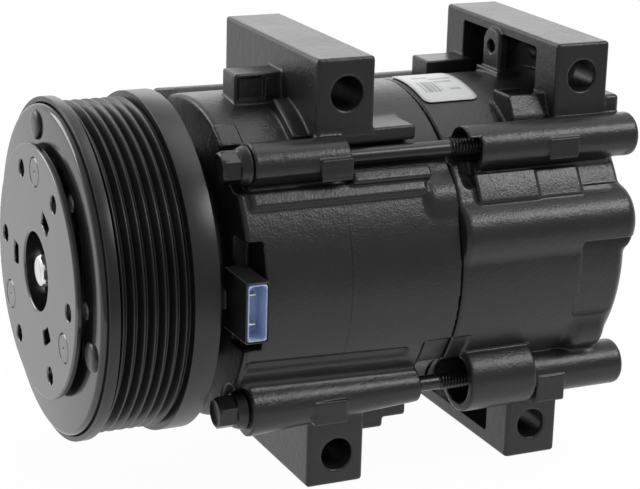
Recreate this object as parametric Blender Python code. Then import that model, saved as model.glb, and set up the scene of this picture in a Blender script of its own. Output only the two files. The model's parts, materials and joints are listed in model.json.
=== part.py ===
"""Belt-driven air conditioning compressor with an electromagnetic clutch, modelled as it is assembled.

Metres, +Z up. The shaft runs along X with the clutch at -X, and the part stands on its lower lugs.
Pieces are drawn about the shaft, with x = 0 on the joint of the two housings, and moved to the frame last.
"""
import math

import bmesh
import bpy
from mathutils import Matrix, Vector

for old in list(bpy.data.objects):
    bpy.data.objects.remove(old, do_unlink=True)

# Clearances, and how far a cutting shape runs past the face it opens
SEAT_GAP = 0.0003
RUNNING_GAP = 0.0006
OVERSHOOT = 0.0010

# Drive train
SHAFT_RADIUS = 0.0080
SHAFT_NECK_RADIUS = 0.0062
SHAFT_CHAMFER = 0.0010
SWASH_ANGLE = math.radians(17.0)
SWASH_THICKNESS = 0.0080
SWASH_MARGIN = 0.0030
SWASH_HUB_WALL = 0.0050
THRUST_BEARING_WIDTH = 0.0034
RADIAL_BEARING_WALL = 0.0042
RADIAL_BEARING_LENGTH = 0.0160

# Cylinders and pistons
PISTON_COUNT = 5
PITCH_RADIUS = 0.0320
BORE_RADIUS = 0.0150
BLOCK_WALL = 0.0035
PISTON_HEAD_LENGTH = 0.0115
SHOE_RADIUS = 0.0060
VALVE_PLATE_THICKNESS = 0.0024
SUCTION_HOLE_RADIUS = 0.0034
DISCHARGE_HOLE_RADIUS = 0.0028

# Housings
HOUSING_WALL = 0.0052
FRONT_HEAD_LENGTH = 0.0299
REAR_HEAD_LENGTH = 0.0184
NOSE_SEAT_STEP = 0.0067
PLENUM_DEPTH = 0.0085
PLENUM_INNER_RADIUS = 0.0220
PLENUM_WALL = 0.0045
REAR_EDGE_RADIUS = 0.0070
SEAL_SECTION = 0.0009
PORT_RADIUS = 0.0075
PORT_PAD_HEIGHT = 0.0010
PORT_PAD_MARGIN = 0.0035
PORT_PAD_CORNER = 0.0060
MANIFOLD_HOLE_RADIUS = 0.0034
MANIFOLD_HOLE_DEPTH = 0.0100
SHAFT_POCKET_DEPTH = 0.0020

# Through bolts and their bosses
BOLT_SHANK_RADIUS = 0.00275
BOLT_THREAD_RADIUS = 0.0030
BOLT_HEX_ACROSS_FLATS = 0.0100
BOLT_HEX_HEIGHT = 0.0064
BOLT_FLANGE_RADIUS = 0.0068
BOLT_FLANGE_HEIGHT = 0.0034
BOLT_THREAD_START = 0.0039
BOLT_TO_BODY = 0.0007
BOSS_WALL = 0.0050
BOSS_FACE_SETBACK = 0.0070
UPPER_BOSS_LENGTH = 0.0347
LOWER_BOSS_LENGTH = 0.0637
REAR_BOSS_SETBACK = 0.0090

# Mounting lugs
LUG_BOLT_RADIUS = 0.0056
LUG_WIDTH = 0.0202
LUG_HEIGHT = 0.0220
LUG_SPAN = 0.0792
LUG_CORNER = 0.0025
UPPER_LUG_WEB = 0.0014
LOWER_LUG_WEB = 0.0029
FRONT_LUGS_X = -0.0380
UPPER_REAR_LUG_X = 0.0522
LOWER_REAR_LUG_X = 0.0402
PEDESTAL_WIDTH = 0.0160
PEDESTAL_SPAN = 0.0600
POCKET_SPAN = 0.0480
POCKET_DEPTH = 0.0121
POCKET_ROOF = 0.0045
POCKET_FLOOR = 0.0006

# Cast pads, ribs and blocks on the housings, with angles in degrees from the connector side upwards
PAD_HEIGHT = 0.0016
UPPER_PAD_ANGLES = (22.0, 40.0)
UPPER_PAD_FRONT = 0.0130
UPPER_PAD_REAR = 0.0040
LOWER_PAD_ANGLES = (-38.0, -23.0)
LOWER_PAD_FRONT = 0.0140
LOWER_PAD_REAR = 0.0340
BULGE_ANGLES = (8.0, 27.0)
BULGE_HEIGHT = 0.0034
BULGE_START = 0.0080
BOSS_WEB_ANGLES = (25.0, 38.0)
BOSS_WEB_HEIGHT = 0.0024
FRONT_BOX_LENGTH = 0.0182
FRONT_BOX_WIDTH = 0.0115
FRONT_BOX_RISE = 0.0014
UPPER_LEDGE_TO_JOINT = 0.0115
UPPER_LEDGE_DROP = 0.0013
UPPER_LEDGE_THICKNESS = 0.0038
LOWER_LEDGE_ANGLES = (35.3, 41.2)
LOWER_LEDGE_HEIGHT = 0.0046
LOWER_LEDGE_TO_JOINT = 0.0092
LOWER_LEDGE_LENGTH = 0.0274
HUMP_ANGLES = (-38.0, -23.0)
HUMP_HEIGHT = 0.0046
HUMP_LENGTH = 0.0175
LUG_STRUT_LENGTH = 0.0180
LUG_STRUT_SPAN = 0.0680
LUG_STRUT_DROP = 0.0070
EYELET_WIDTH = 0.0104
EYELET_TO_ROOF = 0.0005
EYELET_THICKNESS = 0.0036
EYELET_Y = 0.0078
EYELET_HOLE_RADIUS = 0.0022
SMALL_BLOCK_LENGTH = 0.0146
SMALL_BLOCK_WIDTH = 0.0125
SMALL_BLOCK_Y = 0.0278
SMALL_BLOCK_DROP = 0.0004
SMALL_BLOCK_HEIGHT = 0.0136

# Clutch coil and pulley; bearing and coil sizes hold for this room from the nose to the belt rim, and share another
CLUTCH_ROOM = 0.0302
NOSE_RADIUS = 0.0190
COIL_PLATE_THICKNESS = 0.0029
COIL_WALL = 0.0020
SNAP_RING_THICKNESS = 0.0015
SNAP_RING_HEIGHT = 0.0030
PULLEY_BEARING_WIDTH = 0.0220
BEARING_RING_HEIGHT = 0.0040
BALL_RADIUS = 0.0023
BALL_COUNT = 8
CAGE_HEIGHT = 0.0014
CAGE_WIDTH = 0.0070
PULLEY_HUB_WALL = 0.0038
PULLEY_NOSE = 0.0088
PULLEY_WEB = 0.0050
RIB_RADIUS = 0.0565
RIB_PITCH = 0.00356
GROOVE_COUNT = 6
GROOVE_DEPTH = 0.0029
RIM_WALL = 0.0044
RIB_SETBACK = 0.0028
FLANGE_STEP = 0.0019
FLANGE_WIDTH = 0.0035
LIP_DEPTH = 0.0023
LIP_WALL = 0.0019
BAND_WIDTH = 0.0089

# Armature and hub
AIR_GAP = 0.0006
ARMATURE_THICKNESS = 0.0038
ARMATURE_EDGE = 0.0014
ARMATURE_INNER_RADIUS = 0.0200
STOP_HEIGHT = 0.0014
SPRING_SPACE = 0.0019
SPRING_THICKNESS = 0.0005
SPRING_WIDTH = 0.0090
SPRING_CORNER = 0.0031
HUB_RADIUS = 0.0433
HUB_THICKNESS = 0.0024
HUB_HOLE_TO_EDGE = 0.0079
HUB_HOLE_RADIUS = 0.0030
RIVET_TO_EDGE = 0.0088
RIVET_HEAD_RADIUS = 0.0048
RIVET_HEAD_HEIGHT = 0.0009
RIVET_SHANK_RADIUS = 0.0020
HUB_SLOT_CIRCLE = 0.0225
HUB_SLOT_LENGTH = 0.0066
HUB_SLOT_WIDTH = 0.0042
HUB_SLOT_CORNER = 0.0006
HUB_CUP_RADIUS = 0.0134
HUB_CUP_WALL = 0.0028
HUB_FLOOR = 0.0052
HUB_BOLT_SHANK_RADIUS = 0.0030
HUB_BOLT_DEPTH = 0.0140
HUB_BOLT_HEX = 0.0100
HUB_BOLT_HEX_HEIGHT = 0.0061
HUB_BOLT_FLANGE_RADIUS = 0.0080
HUB_BOLT_FLANGE_HEIGHT = 0.0016

# Shaft seal
SEAL_WALL = 0.0059
SEAL_LENGTH = 0.0080
SEAL_RING_THICKNESS = 0.0017

# Coil connector
CONNECTOR_WIDTH = 0.0082
CONNECTOR_DEPTH = 0.0200
CONNECTOR_HEIGHT = 0.0206
CONNECTOR_STANDOUT = 0.0100
CONNECTOR_WALL = 0.0014
CONNECTOR_RECESS = 0.0012
CONNECTOR_CORNER = 0.0010
CONNECTOR_FLOOR = 0.0070
CONNECTOR_TO_PULLEY = 0.0054
CONNECTOR_FOOT_WIDTH = 0.0050
CONNECTOR_FOOT_HEIGHT = 0.0124
CONNECTOR_FOOT_OVERLAP = 0.0016
TERMINAL_WIDTH = 0.0028
TERMINAL_THICKNESS = 0.0010
TERMINAL_SPACING = 0.0098
TERMINAL_INSET = 0.0016
TERMINAL_SHORTENING = 0.0020

# Label
LABEL_LENGTH = 0.0230
LABEL_START = 0.0020
LABEL_THICKNESS = 0.00025
LABEL_ANGLES = (68.0, 100.0)

# Sides of round faces
BODY_SIDES = 24
DISC_SIDES = 30
PULLEY_SIDES = 30
RING_SIDES = 16
CYLINDER_SIDES = 12
ROD_SIDES = 12
HOLE_SIDES = 8
SMALL_HOLE_SIDES = 6

# Radii that follow from the drive train outwards
swash_radius = PITCH_RADIUS + SHOE_RADIUS + SWASH_MARGIN
swash_reach = swash_radius * math.sin(SWASH_ANGLE) + SWASH_THICKNESS / 2 * math.cos(SWASH_ANGLE)
half_stroke = PITCH_RADIUS * math.tan(SWASH_ANGLE)
bearing_radius = SHAFT_RADIUS + SEAT_GAP + RADIAL_BEARING_WALL
block_radius = PITCH_RADIUS + BORE_RADIUS + BLOCK_WALL
housing_bore = block_radius + SEAT_GAP
body_radius = housing_bore + HOUSING_WALL
bolt_circle = body_radius + BOLT_THREAD_RADIUS + BOLT_TO_BODY
boss_radius = BOLT_THREAD_RADIUS + BOSS_WALL
plenum_radius = block_radius - PLENUM_WALL
cast_root = housing_bore + HOUSING_WALL / 5
bolt_bore = BOLT_THREAD_RADIUS + 2 * SEAT_GAP

# Stations along the shaft, from the joint of the housings to both ends
hub_half = swash_reach + RUNNING_GAP
block_start = hub_half + SEAT_GAP + THRUST_BEARING_WIDTH + SEAT_GAP
slot_half = swash_reach + half_stroke + RUNNING_GAP
piston_half = slot_half + PISTON_HEAD_LENGTH
block_end = piston_half + half_stroke + RUNNING_GAP
valve_start = block_end + SEAT_GAP
valve_end = valve_start + VALVE_PLATE_THICKNESS
head_face = valve_end + SEAT_GAP
rear_face = head_face + REAR_HEAD_LENGTH
front_rim = -head_face - FRONT_HEAD_LENGTH
coil_seat = front_rim - NOSE_SEAT_STEP
coil_plate_rear = coil_seat - SEAT_GAP
coil_plate_front = coil_plate_rear - COIL_PLATE_THICKNESS
coil_ring_rear = coil_plate_front - SEAT_GAP
bearing_rear = coil_ring_rear - SNAP_RING_THICKNESS - SEAT_GAP
bearing_front = bearing_rear - PULLEY_BEARING_WIDTH
nose_front = bearing_front - SEAT_GAP - SNAP_RING_THICKNESS - RUNNING_GAP
friction_face = bearing_front - PULLEY_NOSE
flange_front = friction_face - LIP_DEPTH
first_rib = friction_face + RIB_SETBACK
last_rib = first_rib + GROOVE_COUNT * RIB_PITCH
band_start = last_rib + RIB_PITCH * 0.55
band_end = band_start + BAND_WIDTH
armature_rear = friction_face - AIR_GAP
armature_front = armature_rear - ARMATURE_THICKNESS
hub_rear = armature_front - SPRING_SPACE
hub_front = hub_rear - HUB_THICKNESS
cup_floor_rear = nose_front - RUNNING_GAP
cup_floor_front = cup_floor_rear - HUB_FLOOR
boss_front = front_rim + BOSS_FACE_SETBACK
rear_end = rear_face + PORT_PAD_HEIGHT
rear_boss_end = rear_end - PORT_PAD_HEIGHT / 5

# Radii of the clutch
rim_inner = RIB_RADIUS - GROOVE_DEPTH - RIM_WALL
room_share = (rim_inner - NOSE_RADIUS) / CLUTCH_ROOM
ring_height = BEARING_RING_HEIGHT * room_share
ball_radius = BALL_RADIUS * room_share
coil_wall = COIL_WALL * room_share
bearing_inner = NOSE_RADIUS + SEAT_GAP
race_inner = bearing_inner + ring_height
race_outer = race_inner + 2 * (ball_radius + SEAT_GAP)
ball_circle = (race_inner + race_outer) / 2
bearing_outer = race_outer + ring_height
pulley_bore = bearing_outer + SEAT_GAP
pulley_hub_radius = pulley_bore + PULLEY_HUB_WALL * room_share
coil_inner = pulley_hub_radius + RUNNING_GAP
coil_outer = rim_inner - RUNNING_GAP
flange_radius = RIB_RADIUS + FLANGE_STEP
lip_inner = flange_radius - LIP_WALL
armature_radius = lip_inner * math.cos(math.pi / PULLEY_SIDES) - SEAT_GAP
cup_radius = HUB_CUP_RADIUS + HUB_CUP_WALL
hub_hole_circle = HUB_RADIUS - HUB_HOLE_TO_EDGE
rivet_circle = HUB_RADIUS - RIVET_TO_EDGE
seal_bore = SHAFT_RADIUS + SEAT_GAP + SEAL_WALL + SEAT_GAP

# Lug heights, connector reach and the frame
upper_lug_z = body_radius + UPPER_LUG_WEB + LUG_BOLT_RADIUS
lower_lug_z = -(body_radius + LOWER_LUG_WEB + LUG_BOLT_RADIUS)
connector_reach = body_radius + CONNECTOR_STANDOUT
connector_front = band_end + CONNECTOR_TO_PULLEY
connector_foot_end = coil_outer - CONNECTOR_FOOT_OVERLAP
port_circle = (PLENUM_INNER_RADIUS + plenum_radius) / 2
far_side = flange_radius * math.cos(math.pi / PULLEY_SIDES)
FRAME = Vector((
    -(hub_front + rear_end) / 2,
    (connector_reach - far_side) / 2,
    LUG_HEIGHT / 2 - lower_lug_z,
))
BOLT_ANGLES = [math.radians(angle) for angle in (45.0, 135.0, 225.0, 315.0)]
PISTON_ANGLES = [math.radians(90.0 + 360.0 / PISTON_COUNT * k) for k in range(PISTON_COUNT)]


def polar(radius, angle):
    """Point across the shaft at an angle counted from the connector side (-Y) up towards +Z."""
    return -radius * math.cos(angle), radius * math.sin(angle)


def object_from(mesh_builder, name):
    """Closed mesh object from a bmesh, with its faces turned outwards."""
    bmesh.ops.remove_doubles(mesh_builder, verts=mesh_builder.verts, dist=1e-7)
    bmesh.ops.recalc_face_normals(mesh_builder, faces=mesh_builder.faces)
    mesh = bpy.data.meshes.new(name)
    mesh_builder.to_mesh(mesh)
    mesh_builder.free()
    piece = bpy.data.objects.new(name, mesh)
    bpy.context.scene.collection.objects.link(piece)
    return piece


def revolve(name, profile, sides=RING_SIDES, y=0.0, z=0.0):
    """Body of revolution about a line along X: profile is a closed run of (x, radius) points."""
    builder = bmesh.new()
    rings = []
    for k in range(sides):
        angle = 2 * math.pi * (k + 0.5) / sides
        across, up = -math.cos(angle), math.sin(angle)
        rings.append([builder.verts.new((x, y + r * across, z + r * up)) for x, r in profile])
    count = len(profile)
    for k in range(sides):
        this, following = rings[k], rings[(k + 1) % sides]
        for j in range(count):
            i = (j + 1) % count
            if profile[j][1] > 0 or profile[i][1] > 0:
                builder.faces.new((this[j], this[i], following[i], following[j]))
    return object_from(builder, name)


def rod(name, x0, x1, radius, y=0.0, z=0.0, sides=ROD_SIDES):
    """Plain cylinder along X."""
    return revolve(name, [(x0, 0), (x0, radius), (x1, radius), (x1, 0)], sides, y, z)


def ring(name, x0, x1, inner, outer, sides=RING_SIDES):
    """Plain ring about the shaft."""
    return revolve(name, [(x0, inner), (x0, outer), (x1, outer), (x1, inner)], sides)


def extrude(name, outline, axis, start, stop):
    """Prism of a plane outline along axis 0, 1 or 2; the outline gives the two other coordinates in order."""
    builder = bmesh.new()
    ends = []
    for level in (start, stop):
        corners = []
        for a, b in outline:
            point = [a, b]
            point.insert(axis, level)
            corners.append(builder.verts.new(point))
        ends.append(corners)
    count = len(outline)
    builder.faces.new(ends[0])
    builder.faces.new(ends[1][::-1])
    for j in range(count):
        i = (j + 1) % count
        builder.faces.new((ends[0][j], ends[0][i], ends[1][i], ends[1][j]))
    return object_from(builder, name)


def block(name, x0, x1, y0, y1, z0, z1):
    """Square-edged box."""
    return extrude(name, [(y0, z0), (y1, z0), (y1, z1), (y0, z1)], 0, x0, x1)


def rounded(width, height, corner, u=0.0, v=0.0, steps=2):
    """Outline of a rectangle with rounded corners about (u, v)."""
    points = []
    for k in range(4):
        cu = u + (width / 2 - corner) * (1 if k in (0, 3) else -1)
        cv = v + (height / 2 - corner) * (1 if k in (0, 1) else -1)
        for s in range(steps + 1):
            angle = math.pi / 2 * (k + s / steps)
            points.append((cu + corner * math.cos(angle), cv + corner * math.sin(angle)))
    return points


def cross_rod(name, y0, y1, radius, x, z, sides=ROD_SIDES):
    """Plain cylinder along Y."""
    turns = [2 * math.pi * (k + 0.5) / sides for k in range(sides)]
    outline = [(x + radius * math.cos(a), z + radius * math.sin(a)) for a in turns]
    return extrude(name, outline, 1, y0, y1)


def saddle(name, x0, x1, angles, inner, outer, steps=4):
    """Curved block that lies on the body between two angles in degrees."""
    low, high = angles
    turns = [math.radians(low + (high - low) * k / steps) for k in range(steps + 1)]
    outline = [polar(outer, a) for a in turns] + [polar(inner, a) for a in reversed(turns)]
    return extrude(name, outline, 0, x0, x1)


def both_sides(angles):
    """A pair of angles in degrees, and the same pair on the other side of the body."""
    low, high = angles
    return (low, high), (180.0 - high, 180.0 - low)


def combine(body, tools, operation):
    """Fuse the tools with the body, or cut them from it, and leave one plain mesh."""
    for tool in tools:
        modifier = body.modifiers.new(operation, 'BOOLEAN')
        modifier.object = tool
        modifier.operation = operation
        modifier.solver = 'EXACT'
        state = bpy.context.evaluated_depsgraph_get()
        mesh = bpy.data.meshes.new_from_object(body.evaluated_get(state))
        body.modifiers.clear()
        previous = body.data
        body.data = mesh
        bpy.data.meshes.remove(previous)
        bpy.data.objects.remove(tool, do_unlink=True)
    mesh_builder = bmesh.new()
    mesh_builder.from_mesh(body.data)
    bmesh.ops.remove_doubles(mesh_builder, verts=mesh_builder.verts, dist=2e-6)
    bmesh.ops.dissolve_degenerate(mesh_builder, edges=mesh_builder.edges, dist=2e-6)
    mesh_builder.to_mesh(body.data)
    mesh_builder.free()
    return body


def fuse(body, *tools):
    return combine(body, tools, 'UNION')


def cut(body, *tools):
    return combine(body, tools, 'DIFFERENCE')


def hexagon(across_flats):
    """Outline of a hexagon about the origin."""
    radius = across_flats / math.sqrt(3)
    return [(radius * math.cos(math.pi / 3 * k), radius * math.sin(math.pi / 3 * k)) for k in range(6)]


def lug_bar(name, x, z):
    """Mounting lug: a bar across the body with rounded long edges."""
    return extrude(name, rounded(LUG_WIDTH, LUG_HEIGHT, LUG_CORNER, x, z), 1, -LUG_SPAN / 2, LUG_SPAN / 2)


def lug_pedestal(name, x, z):
    """Foot that carries a lug on the body."""
    root = math.copysign(body_radius - HOUSING_WALL * 2, z)
    low, high = sorted((root, z - math.copysign(LUG_HEIGHT / 4, z)))
    half = PEDESTAL_SPAN / 2
    return block(name, x - PEDESTAL_WIDTH / 2, x + PEDESTAL_WIDTH / 2, -half, half, low, high)


def lug_bore(name, x, z):
    """Through hole of a lug for the bolt that holds the compressor to its bracket."""
    return cross_rod(name, -LUG_SPAN, LUG_SPAN, LUG_BOLT_RADIUS, x, z)


def rounded_end_rod(name, x0, x1, radius, y, z):
    """Boss with a domed end at x1."""
    dome = [(x1 - radius * 0.5 * (1 - math.sin(t)), radius * (0.35 + 0.65 * math.cos(t)))
            for t in (0.0, math.pi / 6, math.pi / 3, math.pi / 2)]
    return revolve(name, [(x0, 0), (x0, radius)] + dome + [(x1, 0)], ROD_SIDES, y, z)


def front_housing():
    """Front casting: nose, end wall with its gas chamber, cylinder shell, bosses and two lugs."""
    joint = -SEAT_GAP / 2
    step = 2 * (SEAL_SECTION + SEAT_GAP)
    seal_floor = nose_front + SEAL_RING_THICKNESS + SEAL_LENGTH + 3 * SEAT_GAP + RUNNING_GAP
    outside = [
        (joint, 0), (joint, body_radius),
        (front_rim + HOUSING_WALL / 2, body_radius), (front_rim, body_radius - HOUSING_WALL / 2),
        (front_rim - NOSE_SEAT_STEP * 0.3, (body_radius + NOSE_RADIUS) / 2 + HOUSING_WALL),
        (coil_seat, (body_radius + NOSE_RADIUS) / 2), (coil_seat, NOSE_RADIUS),
        (nose_front + RUNNING_GAP, NOSE_RADIUS), (nose_front, NOSE_RADIUS - RUNNING_GAP), (nose_front, 0),
    ]
    inside = [
        (nose_front - OVERSHOOT, 0), (nose_front - OVERSHOOT, seal_bore), (seal_floor, seal_bore),
        (seal_floor, SHAFT_RADIUS + RUNNING_GAP), (-head_face, SHAFT_RADIUS + RUNNING_GAP),
        (-head_face, PLENUM_INNER_RADIUS), (-head_face - PLENUM_DEPTH, PLENUM_INNER_RADIUS),
        (-head_face - PLENUM_DEPTH, plenum_radius), (-head_face, plenum_radius), (-head_face, housing_bore),
        (joint - step, housing_bore), (joint - step, housing_bore + step),
        (joint + OVERSHOOT, housing_bore + step), (joint + OVERSHOOT, 0),
    ]
    body = revolve("front_housing", outside, BODY_SIDES)
    added = []
    for angle in BOLT_ANGLES:
        y, z = polar(bolt_circle, angle)
        length = UPPER_BOSS_LENGTH if z > 0 else LOWER_BOSS_LENGTH
        added.append(rod("boss", boss_front, boss_front + length, boss_radius, y, z))
    for z in (upper_lug_z, lower_lug_z):
        added.append(lug_pedestal("pedestal", FRONT_LUGS_X, z))
        added.append(lug_bar("lug", FRONT_LUGS_X, z))
    lug_front = FRONT_LUGS_X - LUG_WIDTH / 2
    lug_rear = FRONT_LUGS_X + LUG_WIDTH / 2
    added.append(block("box", lug_front - FRONT_BOX_LENGTH, lug_front + LUG_CORNER, -FRONT_BOX_WIDTH, 0.0,
                       body_radius - 1.5 * HOUSING_WALL, upper_lug_z + FRONT_BOX_RISE))
    ledge_top = upper_lug_z - LUG_HEIGHT / 2 - UPPER_LEDGE_DROP
    ledge_half = polar(bolt_circle, BOLT_ANGLES[0])[1] - BOLT_SHANK_RADIUS
    added.append(block("ledge", lug_front, -UPPER_LEDGE_TO_JOINT, -ledge_half, ledge_half,
                       ledge_top - UPPER_LEDGE_THICKNESS, ledge_top + UPPER_LEDGE_DROP / 2))
    for angles in both_sides(LOWER_LEDGE_ANGLES):
        added.append(saddle("ledge", -LOWER_LEDGE_TO_JOINT - LOWER_LEDGE_LENGTH, -LOWER_LEDGE_TO_JOINT, angles,
                            cast_root, body_radius + LOWER_LEDGE_HEIGHT, 1))
    added.append(block("strut", lug_rear - LUG_CORNER, lug_rear + LUG_STRUT_LENGTH,
                       -LUG_STRUT_SPAN / 2, LUG_STRUT_SPAN / 2,
                       lower_lug_z + LUG_STRUT_DROP, -body_radius + 1.7 * HOUSING_WALL))
    pad_top = body_radius + PAD_HEIGHT
    added.append(saddle("pad", -UPPER_PAD_FRONT, joint, UPPER_PAD_ANGLES, cast_root, pad_top))
    added.append(saddle("pad", -LOWER_PAD_FRONT, joint, LOWER_PAD_ANGLES, cast_root, pad_top))
    fuse(body, *added)
    removed = []
    for angle in BOLT_ANGLES:
        y, z = polar(bolt_circle, angle)
        removed.append(rod("relief", front_rim - HOUSING_WALL, boss_front, boss_radius + SEAT_GAP, y, z))
        removed.append(rod("bore", boss_front - OVERSHOOT, OVERSHOOT, bolt_bore, y, z, HOLE_SIDES))
    for z in (upper_lug_z, lower_lug_z):
        removed.append(lug_bore("lug_bore", FRONT_LUGS_X, z))
    notch = CONNECTOR_HEIGHT / 2 + RUNNING_GAP
    floor = min(connector_reach - CONNECTOR_DEPTH, connector_foot_end) - SEAT_GAP
    removed.append(block("notch", coil_seat, connector_front + CONNECTOR_WIDTH + RUNNING_GAP,
                         -connector_reach, -floor, -notch, notch))
    removed.append(revolve("inside", inside, BODY_SIDES))
    return cut(body, *removed)


def rear_housing():
    """Rear casting: cylinder shell, end wall with its gas chamber and ports, bosses and two lugs."""
    joint = SEAT_GAP / 2
    corner_x, corner_r = rear_face - REAR_EDGE_RADIUS, body_radius - REAR_EDGE_RADIUS
    edge = [(corner_x + REAR_EDGE_RADIUS * math.sin(t), corner_r + REAR_EDGE_RADIUS * math.cos(t))
            for t in (0.0, math.pi / 6, math.pi / 3, math.pi / 2)]
    pocket = SHAFT_RADIUS + RUNNING_GAP
    inside = [
        (joint - OVERSHOOT, 0), (joint - OVERSHOOT, housing_bore), (head_face, housing_bore),
        (head_face, plenum_radius), (head_face + PLENUM_DEPTH, plenum_radius),
        (head_face + PLENUM_DEPTH, PLENUM_INNER_RADIUS), (head_face, PLENUM_INNER_RADIUS),
        (head_face, pocket), (head_face + SHAFT_POCKET_DEPTH, pocket), (head_face + SHAFT_POCKET_DEPTH, 0),
    ]
    body = revolve("rear_housing", [(joint, 0), (joint, body_radius)] + edge + [(rear_face, 0)], BODY_SIDES)
    added = []
    for angle in BOLT_ANGLES:
        y, z = polar(bolt_circle, angle)
        added.append(rounded_end_rod("boss", REAR_BOSS_SETBACK, rear_boss_end, boss_radius, y, z))
    for x, z in ((UPPER_REAR_LUG_X, upper_lug_z), (LOWER_REAR_LUG_X, lower_lug_z)):
        added.append(lug_pedestal("pedestal", x, z))
        added.append(lug_bar("lug", x, z))
    pad_top = body_radius + PAD_HEIGHT
    added.append(saddle("pad", joint, UPPER_PAD_REAR, UPPER_PAD_ANGLES, cast_root, pad_top))
    added.append(saddle("pad", joint, LOWER_PAD_REAR, LOWER_PAD_ANGLES, cast_root, pad_top))
    added.append(saddle("bulge", BULGE_START, corner_x, BULGE_ANGLES, cast_root, body_radius + BULGE_HEIGHT))
    added.append(saddle("web", REAR_BOSS_SETBACK + OVERSHOOT, corner_x - OVERSHOOT, BOSS_WEB_ANGLES,
                        cast_root, body_radius + BOSS_WEB_HEIGHT))
    for angles in both_sides(HUMP_ANGLES):
        added.append(saddle("hump", corner_x - HUMP_LENGTH, corner_x, angles, cast_root, body_radius + HUMP_HEIGHT, 2))
    block_front = UPPER_REAR_LUG_X - LUG_WIDTH / 2 - SMALL_BLOCK_LENGTH
    for y in (-SMALL_BLOCK_Y, SMALL_BLOCK_Y):
        added.append(block("small_block", block_front, block_front + SMALL_BLOCK_LENGTH + LUG_CORNER,
                           y - SMALL_BLOCK_WIDTH / 2, y + SMALL_BLOCK_WIDTH / 2,
                           body_radius - SMALL_BLOCK_DROP - SMALL_BLOCK_HEIGHT, body_radius - SMALL_BLOCK_DROP))
    pad_span = 2 * (port_circle + PORT_RADIUS + PORT_PAD_MARGIN)
    pad_height = 2 * (PORT_RADIUS + PORT_PAD_MARGIN)
    added.append(extrude("port_pad", rounded(pad_span, pad_height, PORT_PAD_CORNER), 0,
                         rear_face - HOUSING_WALL / 2, rear_end))
    fuse(body, *added)
    removed = [revolve("inside", inside, BODY_SIDES)]
    for angle in BOLT_ANGLES:
        y, z = polar(bolt_circle, angle)
        removed.append(rod("bore", -OVERSHOOT, rear_end - boss_radius, bolt_bore, y, z, HOLE_SIDES))
    for x, z in ((UPPER_REAR_LUG_X, upper_lug_z), (LOWER_REAR_LUG_X, lower_lug_z)):
        removed.append(lug_bore("lug_bore", x, z))
        front = x - LUG_WIDTH / 2
        near, far = body_radius + POCKET_FLOOR, abs(z) + LUG_HEIGHT / 2 - POCKET_ROOF
        low, high = sorted((math.copysign(near, z), math.copysign(far, z)))
        removed.append(block("pocket", front - OVERSHOOT, front + POCKET_DEPTH,
                             -POCKET_SPAN / 2, POCKET_SPAN / 2, low, high))
    for side in (-1, 1):
        y = side * port_circle
        removed.append(rod("port", head_face + OVERSHOOT, rear_end + OVERSHOOT, PORT_RADIUS, y))
    removed.append(rod("manifold_hole", rear_end - MANIFOLD_HOLE_DEPTH, rear_end + OVERSHOOT,
                       MANIFOLD_HOLE_RADIUS, sides=HOLE_SIDES))
    cut(body, *removed)
    return fuse(body, eyelet())


def eyelet():
    """Upright tab with a hole that stands in the pocket of the upper rear lug."""
    front = UPPER_REAR_LUG_X - LUG_WIDTH / 2
    low = body_radius - HOUSING_WALL / 2
    high = upper_lug_z + LUG_HEIGHT / 2 - POCKET_ROOF - EYELET_TO_ROOF
    outline = rounded(EYELET_WIDTH, high - low, EYELET_WIDTH / 4, EYELET_Y, (low + high) / 2)
    tab = extrude("eyelet", outline, 0, front, front + EYELET_THICKNESS)
    hole_z = high - EYELET_WIDTH / 2
    return cut(tab, rod("hole", front - OVERSHOOT, front + EYELET_THICKNESS + OVERSHOOT,
                        EYELET_HOLE_RADIUS, EYELET_Y, hole_z, HOLE_SIDES))


def sealing_ring():
    """Square seal in the stepped corner of the front housing's joint face."""
    rear = -1.5 * SEAT_GAP
    width = 2 * SEAL_SECTION
    inner = housing_bore + SEAT_GAP
    return ring("housing_seal_ring", rear - width, rear, inner, inner + width, BODY_SIDES)


def through_bolt(number, angle):
    """Long bolt with a hexagon head and flange, a bare shank and a threaded rear half."""
    y, z = polar(bolt_circle, angle)
    seat = boss_front - SEAT_GAP
    flange = seat - BOLT_FLANGE_HEIGHT
    tip = rear_end - boss_radius - RUNNING_GAP
    start = -BOLT_THREAD_START
    profile = [
        (flange, 0), (flange, BOLT_FLANGE_RADIUS * 0.86),
        (seat - BOLT_FLANGE_HEIGHT * 0.4, BOLT_FLANGE_RADIUS), (seat, BOLT_FLANGE_RADIUS),
        (seat, BOLT_SHANK_RADIUS), (start, BOLT_SHANK_RADIUS),
        (start, BOLT_THREAD_RADIUS), (tip, BOLT_THREAD_RADIUS), (tip, 0),
    ]
    bolt = revolve(f"through_bolt_{number}", profile, HOLE_SIDES, y, z)
    outline = [(y + a, z + b) for a, b in hexagon(BOLT_HEX_ACROSS_FLATS)]
    return fuse(bolt, extrude("head", outline, 0, flange - BOLT_HEX_HEIGHT, flange + BOLT_FLANGE_HEIGHT / 4))


def turned(piece, angle):
    """Carry a piece that is drawn above the shaft round to its place at an angle."""
    piece.data.transform(Matrix.Rotation(math.pi / 2 - angle, 4, 'X'))
    return piece


def cylinder_block(name, side):
    """Half of the cylinders: a round block with a bearing bore and the cylinder bores round it."""
    low, high = sorted((side * block_start, side * block_end))
    body = ring(name, low, high, bearing_radius + SEAT_GAP, block_radius, BODY_SIDES)
    bores = []
    for angle in PISTON_ANGLES:
        bore = rod("bore", low - OVERSHOOT, high + OVERSHOOT, BORE_RADIUS, 0.0, PITCH_RADIUS, CYLINDER_SIDES)
        bores.append(turned(bore, angle))
    return cut(body, *bores)


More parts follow.
